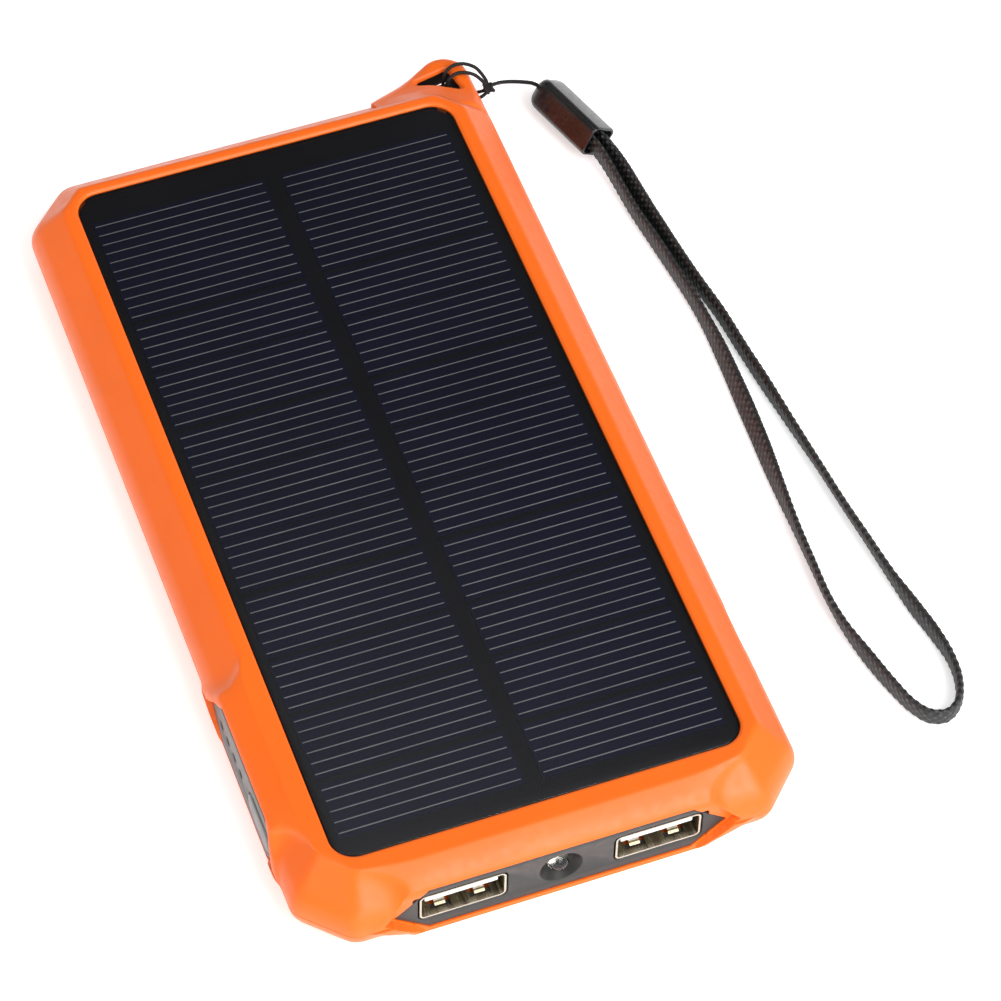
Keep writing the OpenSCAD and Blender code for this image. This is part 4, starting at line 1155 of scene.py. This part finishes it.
def tube(name, pts, dia, step=0.07, n=20, strands=5, lay=1.15, ends=True):
    """A fine laid cord: a tube whose section is fluted by its strands, turning along the length."""
    P, s = spline(pts, step)
    T = np.gradient(P, axis=0)
    T /= np.linalg.norm(T, axis=1)[:, None]
    # frame carried along without twist
    r = np.cross(T[0], [0.2, 0.1, 1.0])
    r /= np.linalg.norm(r)
    R = []
    for t in T:
        r = r - t * (r @ t)
        r /= np.linalg.norm(r)
        R.append(r.copy())
    R = np.array(R)
    B = np.cross(T, R)
    a = np.linspace(0, 2 * math.pi, n, endpoint=False)
    ph = s[:, None] / lay * 2 * math.pi / strands * 2
    rad = dia / 2 * (0.93 + 0.07 * np.abs(np.cos(strands * (a[None] + ph) / 2)))
    if ends:
        e = np.minimum(np.minimum(s, s[-1] - s) / (dia * 0.4), 1)
        rad = rad * np.sqrt(np.maximum(1 - (1 - e) ** 2, 0.02))[:, None]
    P3 = P[:, None] + rad[..., None] * (np.cos(a)[None, :, None] * R[:, None] + np.sin(a)[None, :, None] * B[:, None])
    return loft(name, list(P3)), P, s[-1]


def thread_mat():
    mt, nt, out = mat_new("black_thread")
    p = principled(nt, out, Roughness=0.6)
    p.inputs["Specular IOR Level"].default_value = 0.3
    oc = coord(nt)
    n = noise(nt, oc, 5000, 3)
    link(nt, ramp(nt, n, [(0.3, (0.003, 0.0028, 0.0028)), (0.7, (0.011, 0.010, 0.010))]), p.inputs["Base Color"])
    bump(nt, n, 0.4, 3e-5, p)
    return mt


THREAD = thread_mat()


def build_cords():
    # one thin cord: up from the knot, round the bar twice, and both ends on into the ferrule
    run = TAIL_B[::-1] + LOOP_B[::-1] + [[41.3, 68.6, 8.0]] + LOOP_A[::-1] + TAIL_A[1:]
    made = tube("eye_cord", run, 0.6)
    place(made[0], THREAD, ["lanyard_cord"])
    spare, _, _ = tube("eye_cord_spare", TUCK, 0.6)
    place(spare, THREAD)
    # the knot: a few turns of the same cord pulled tight
    c = np.array([40.75, 68.5, 7.95])
    t = np.linspace(0, 1, 90)
    pts = []
    for k in t:
        a = 2 * math.pi * 2.6 * k
        rr = 0.62 + 0.12 * math.sin(7 * k)
        pts.append(c + np.array([(k - 0.5) * 1.3 + 0.15 * math.sin(2 * a), rr * math.cos(a), rr * math.sin(a)]))
    kn, kp, kl = tube("cord_knot", pts, 0.62, ends=True)
    place(kn, THREAD, ["lanyard_knot"])
    return made, kn


(eye_cord, eye_path, eye_len), knot = build_cords()

# ------------------------------------------------------------------ carried-over nodes: finishes
FIN = {
    "switch_plunger": BLACKP, "tact_switch": BLACKP, "light_pipe": CLEAR, "indicator_leds": PALEP, "torch_led_legs": STEEL,
    "usb_left_shell": SOCKET, "usb_right_shell": SOCKET, 
    "usb_left_contacts": GOLD, "usb_right_contacts": GOLD, "micro_usb_shell": STEEL, "micro_usb_tongue": BLACKP,
    "micro_usb_contacts": GOLD, "main_board": BOARD, "board_screws": STEEL, "power_inductor": FERRITE,
    "buffer_capacitors": FOIL, "control_chips": BLACKP, "battery_cell_left": FOIL, "battery_cell_right": FOIL,
    "battery_protection_board": BOARD, "battery_pads": PALEP, "battery_lead_red": REDW, "battery_lead_black": BLACKW,
    "solar_lead_red": REDW, "solar_lead_black": BLACKW, "solar_backplate": PBACK, "solar_cells": CELL,
    "panel_adhesive": PALEP, "case_screws": STEEL}
for n, mt in FIN.items():
    ob = NODES[n]
    if not ob.material_slots:
        ob.data.materials.append(mt)
    for sl in ob.material_slots:
        sl.material = mt

# ------------------------------------------------------------------ floor, light
bm = bmesh.new()
bmesh.ops.create_grid(bm, x_segments=2, y_segments=2, size=3.0)
me = bpy.data.meshes.new("floor")
bm.to_mesh(me)
bm.free()
floor = bpy.data.objects.new("floor", me)
floor.location = (0, 0, -0.00015)
scene.collection.objects.link(floor)
mt, nt, out = mat_new("floor_paper")
p = principled(nt, out, Roughness=0.8)
p.inputs["Specular IOR Level"].default_value = 0.1
p.inputs["Emission Color"].default_value = (1, 1, 1, 1)
p.inputs["Emission Strength"].default_value = 0.42
link(nt, ramp(nt, noise(nt, coord(nt), 3, 2), [(0.3, (0.93, 0.93, 0.93)), (0.7, (0.95, 0.95, 0.95))]), p.inputs["Base Color"])
# paper seen from above only, so that the underside can be looked at
geo = nt.nodes.new("ShaderNodeNewGeometry")
glass = nt.nodes.new("ShaderNodeBsdfTransparent")
one_side = nt.nodes.new("ShaderNodeMixShader")
link(nt, geo.outputs["Backfacing"], one_side.inputs[0])
link(nt, p.outputs[0], one_side.inputs[1])
link(nt, glass.outputs[0], one_side.inputs[2])
link(nt, one_side.outputs[0], out.inputs[0])
floor.data.materials.append(mt)

world = bpy.data.worlds.new("studio")
scene.world = world
world.use_nodes = True
wt = world.node_tree
bg = wt.nodes["Background"]
tc = wt.nodes.new("ShaderNodeTexCoord")
sp = wt.nodes.new("ShaderNodeSeparateXYZ")
wt.links.new(tc.outputs["Generated"], sp.inputs[0])
cr = wt.nodes.new("ShaderNodeValToRGB")
WORLD = [(0.0, 0.62), (0.30, 0.56), (0.58, 0.12), (0.78, 0.06), (0.88, 0.26), (1.0, 1.0)]
for i, (q, v) in enumerate(WORLD):
    if i > 1:
        cr.color_ramp.elements.new(q)
for i, (q, v) in enumerate(WORLD):
    cr.color_ramp.elements[i].position = q
    cr.color_ramp.elements[i].color = (v, v, v, 1)
wt.links.new(sp.outputs[2], cr.inputs[0])
az = wt.nodes.new("ShaderNodeValToRGB")
az.color_ramp.elements.new(0.5)
for e, (q, v) in zip(az.color_ramp.elements, [(0.0, 1.0), (0.5, 0.62), (1.0, 0.42)]):
    e.position = q
    e.color = (v, v, v, 1)
half = wt.nodes.new("ShaderNodeMapRange")
half.inputs["From Min"].default_value = -1.0
wt.links.new(sp.outputs[1], half.inputs["Value"])
wt.links.new(half.outputs[0], az.inputs[0])
both = wt.nodes.new("ShaderNodeMix")
both.data_type = "RGBA"
both.blend_type = "MULTIPLY"
both.inputs[0].default_value = 1.0
wt.links.new(cr.outputs[0], both.inputs[6])
wt.links.new(az.outputs[0], both.inputs[7])
lr = wt.nodes.new("ShaderNodeValToRGB")
lr.color_ramp.elements.new(0.45)
for e, (q, v) in zip(lr.color_ramp.elements, [(0.0, 0.55), (0.45, 1.0), (1.0, 1.0)]):
    e.position = q
    e.color = (v, v, v, 1)
hx = wt.nodes.new("ShaderNodeMapRange")
hx.inputs["From Min"].default_value = -1.0
wt.links.new(sp.outputs[0], hx.inputs["Value"])
wt.links.new(hx.outputs[0], lr.inputs[0])
all3 = wt.nodes.new("ShaderNodeMix")
all3.data_type = "RGBA"
all3.blend_type = "MULTIPLY"
all3.inputs[0].default_value = 1.0
wt.links.new(both.outputs[2], all3.inputs[6])
wt.links.new(lr.outputs[0], all3.inputs[7])
wt.links.new(all3.outputs[2], bg.inputs[0])
bg.inputs[1].default_value = 2.3


def area(name, loc, target, size, power, size_y=None, col=(1, 1, 1)):
    d = bpy.data.lights.new(name, "AREA")
    d.energy = power
    d.color = col
    d.size = size
    if size_y:
        d.shape = "RECTANGLE"
        d.size_y = size_y
    o = bpy.data.objects.new(name, d)
    o.location = loc
    v = Vector(target) - Vector(loc)
    o.rotation_euler = v.to_track_quat("-Z", "Y").to_euler()
    scene.collection.objects.link(o)
    return o


area("key", (0.35, -0.75, 0.95), (0, 0, 0), 0.7, 12.0)
area("fill", (-0.75, -0.15, 0.8), (0, 0, 0), 0.7, 2.8)
area("front", (0.2, -1.1, 0.5), (0, 0, 0), 1.0, 4.6, 0.5)

scene.view_settings.view_transform = "Standard"
scene.view_settings.look = "None"
scene.view_settings.exposure = 0.0
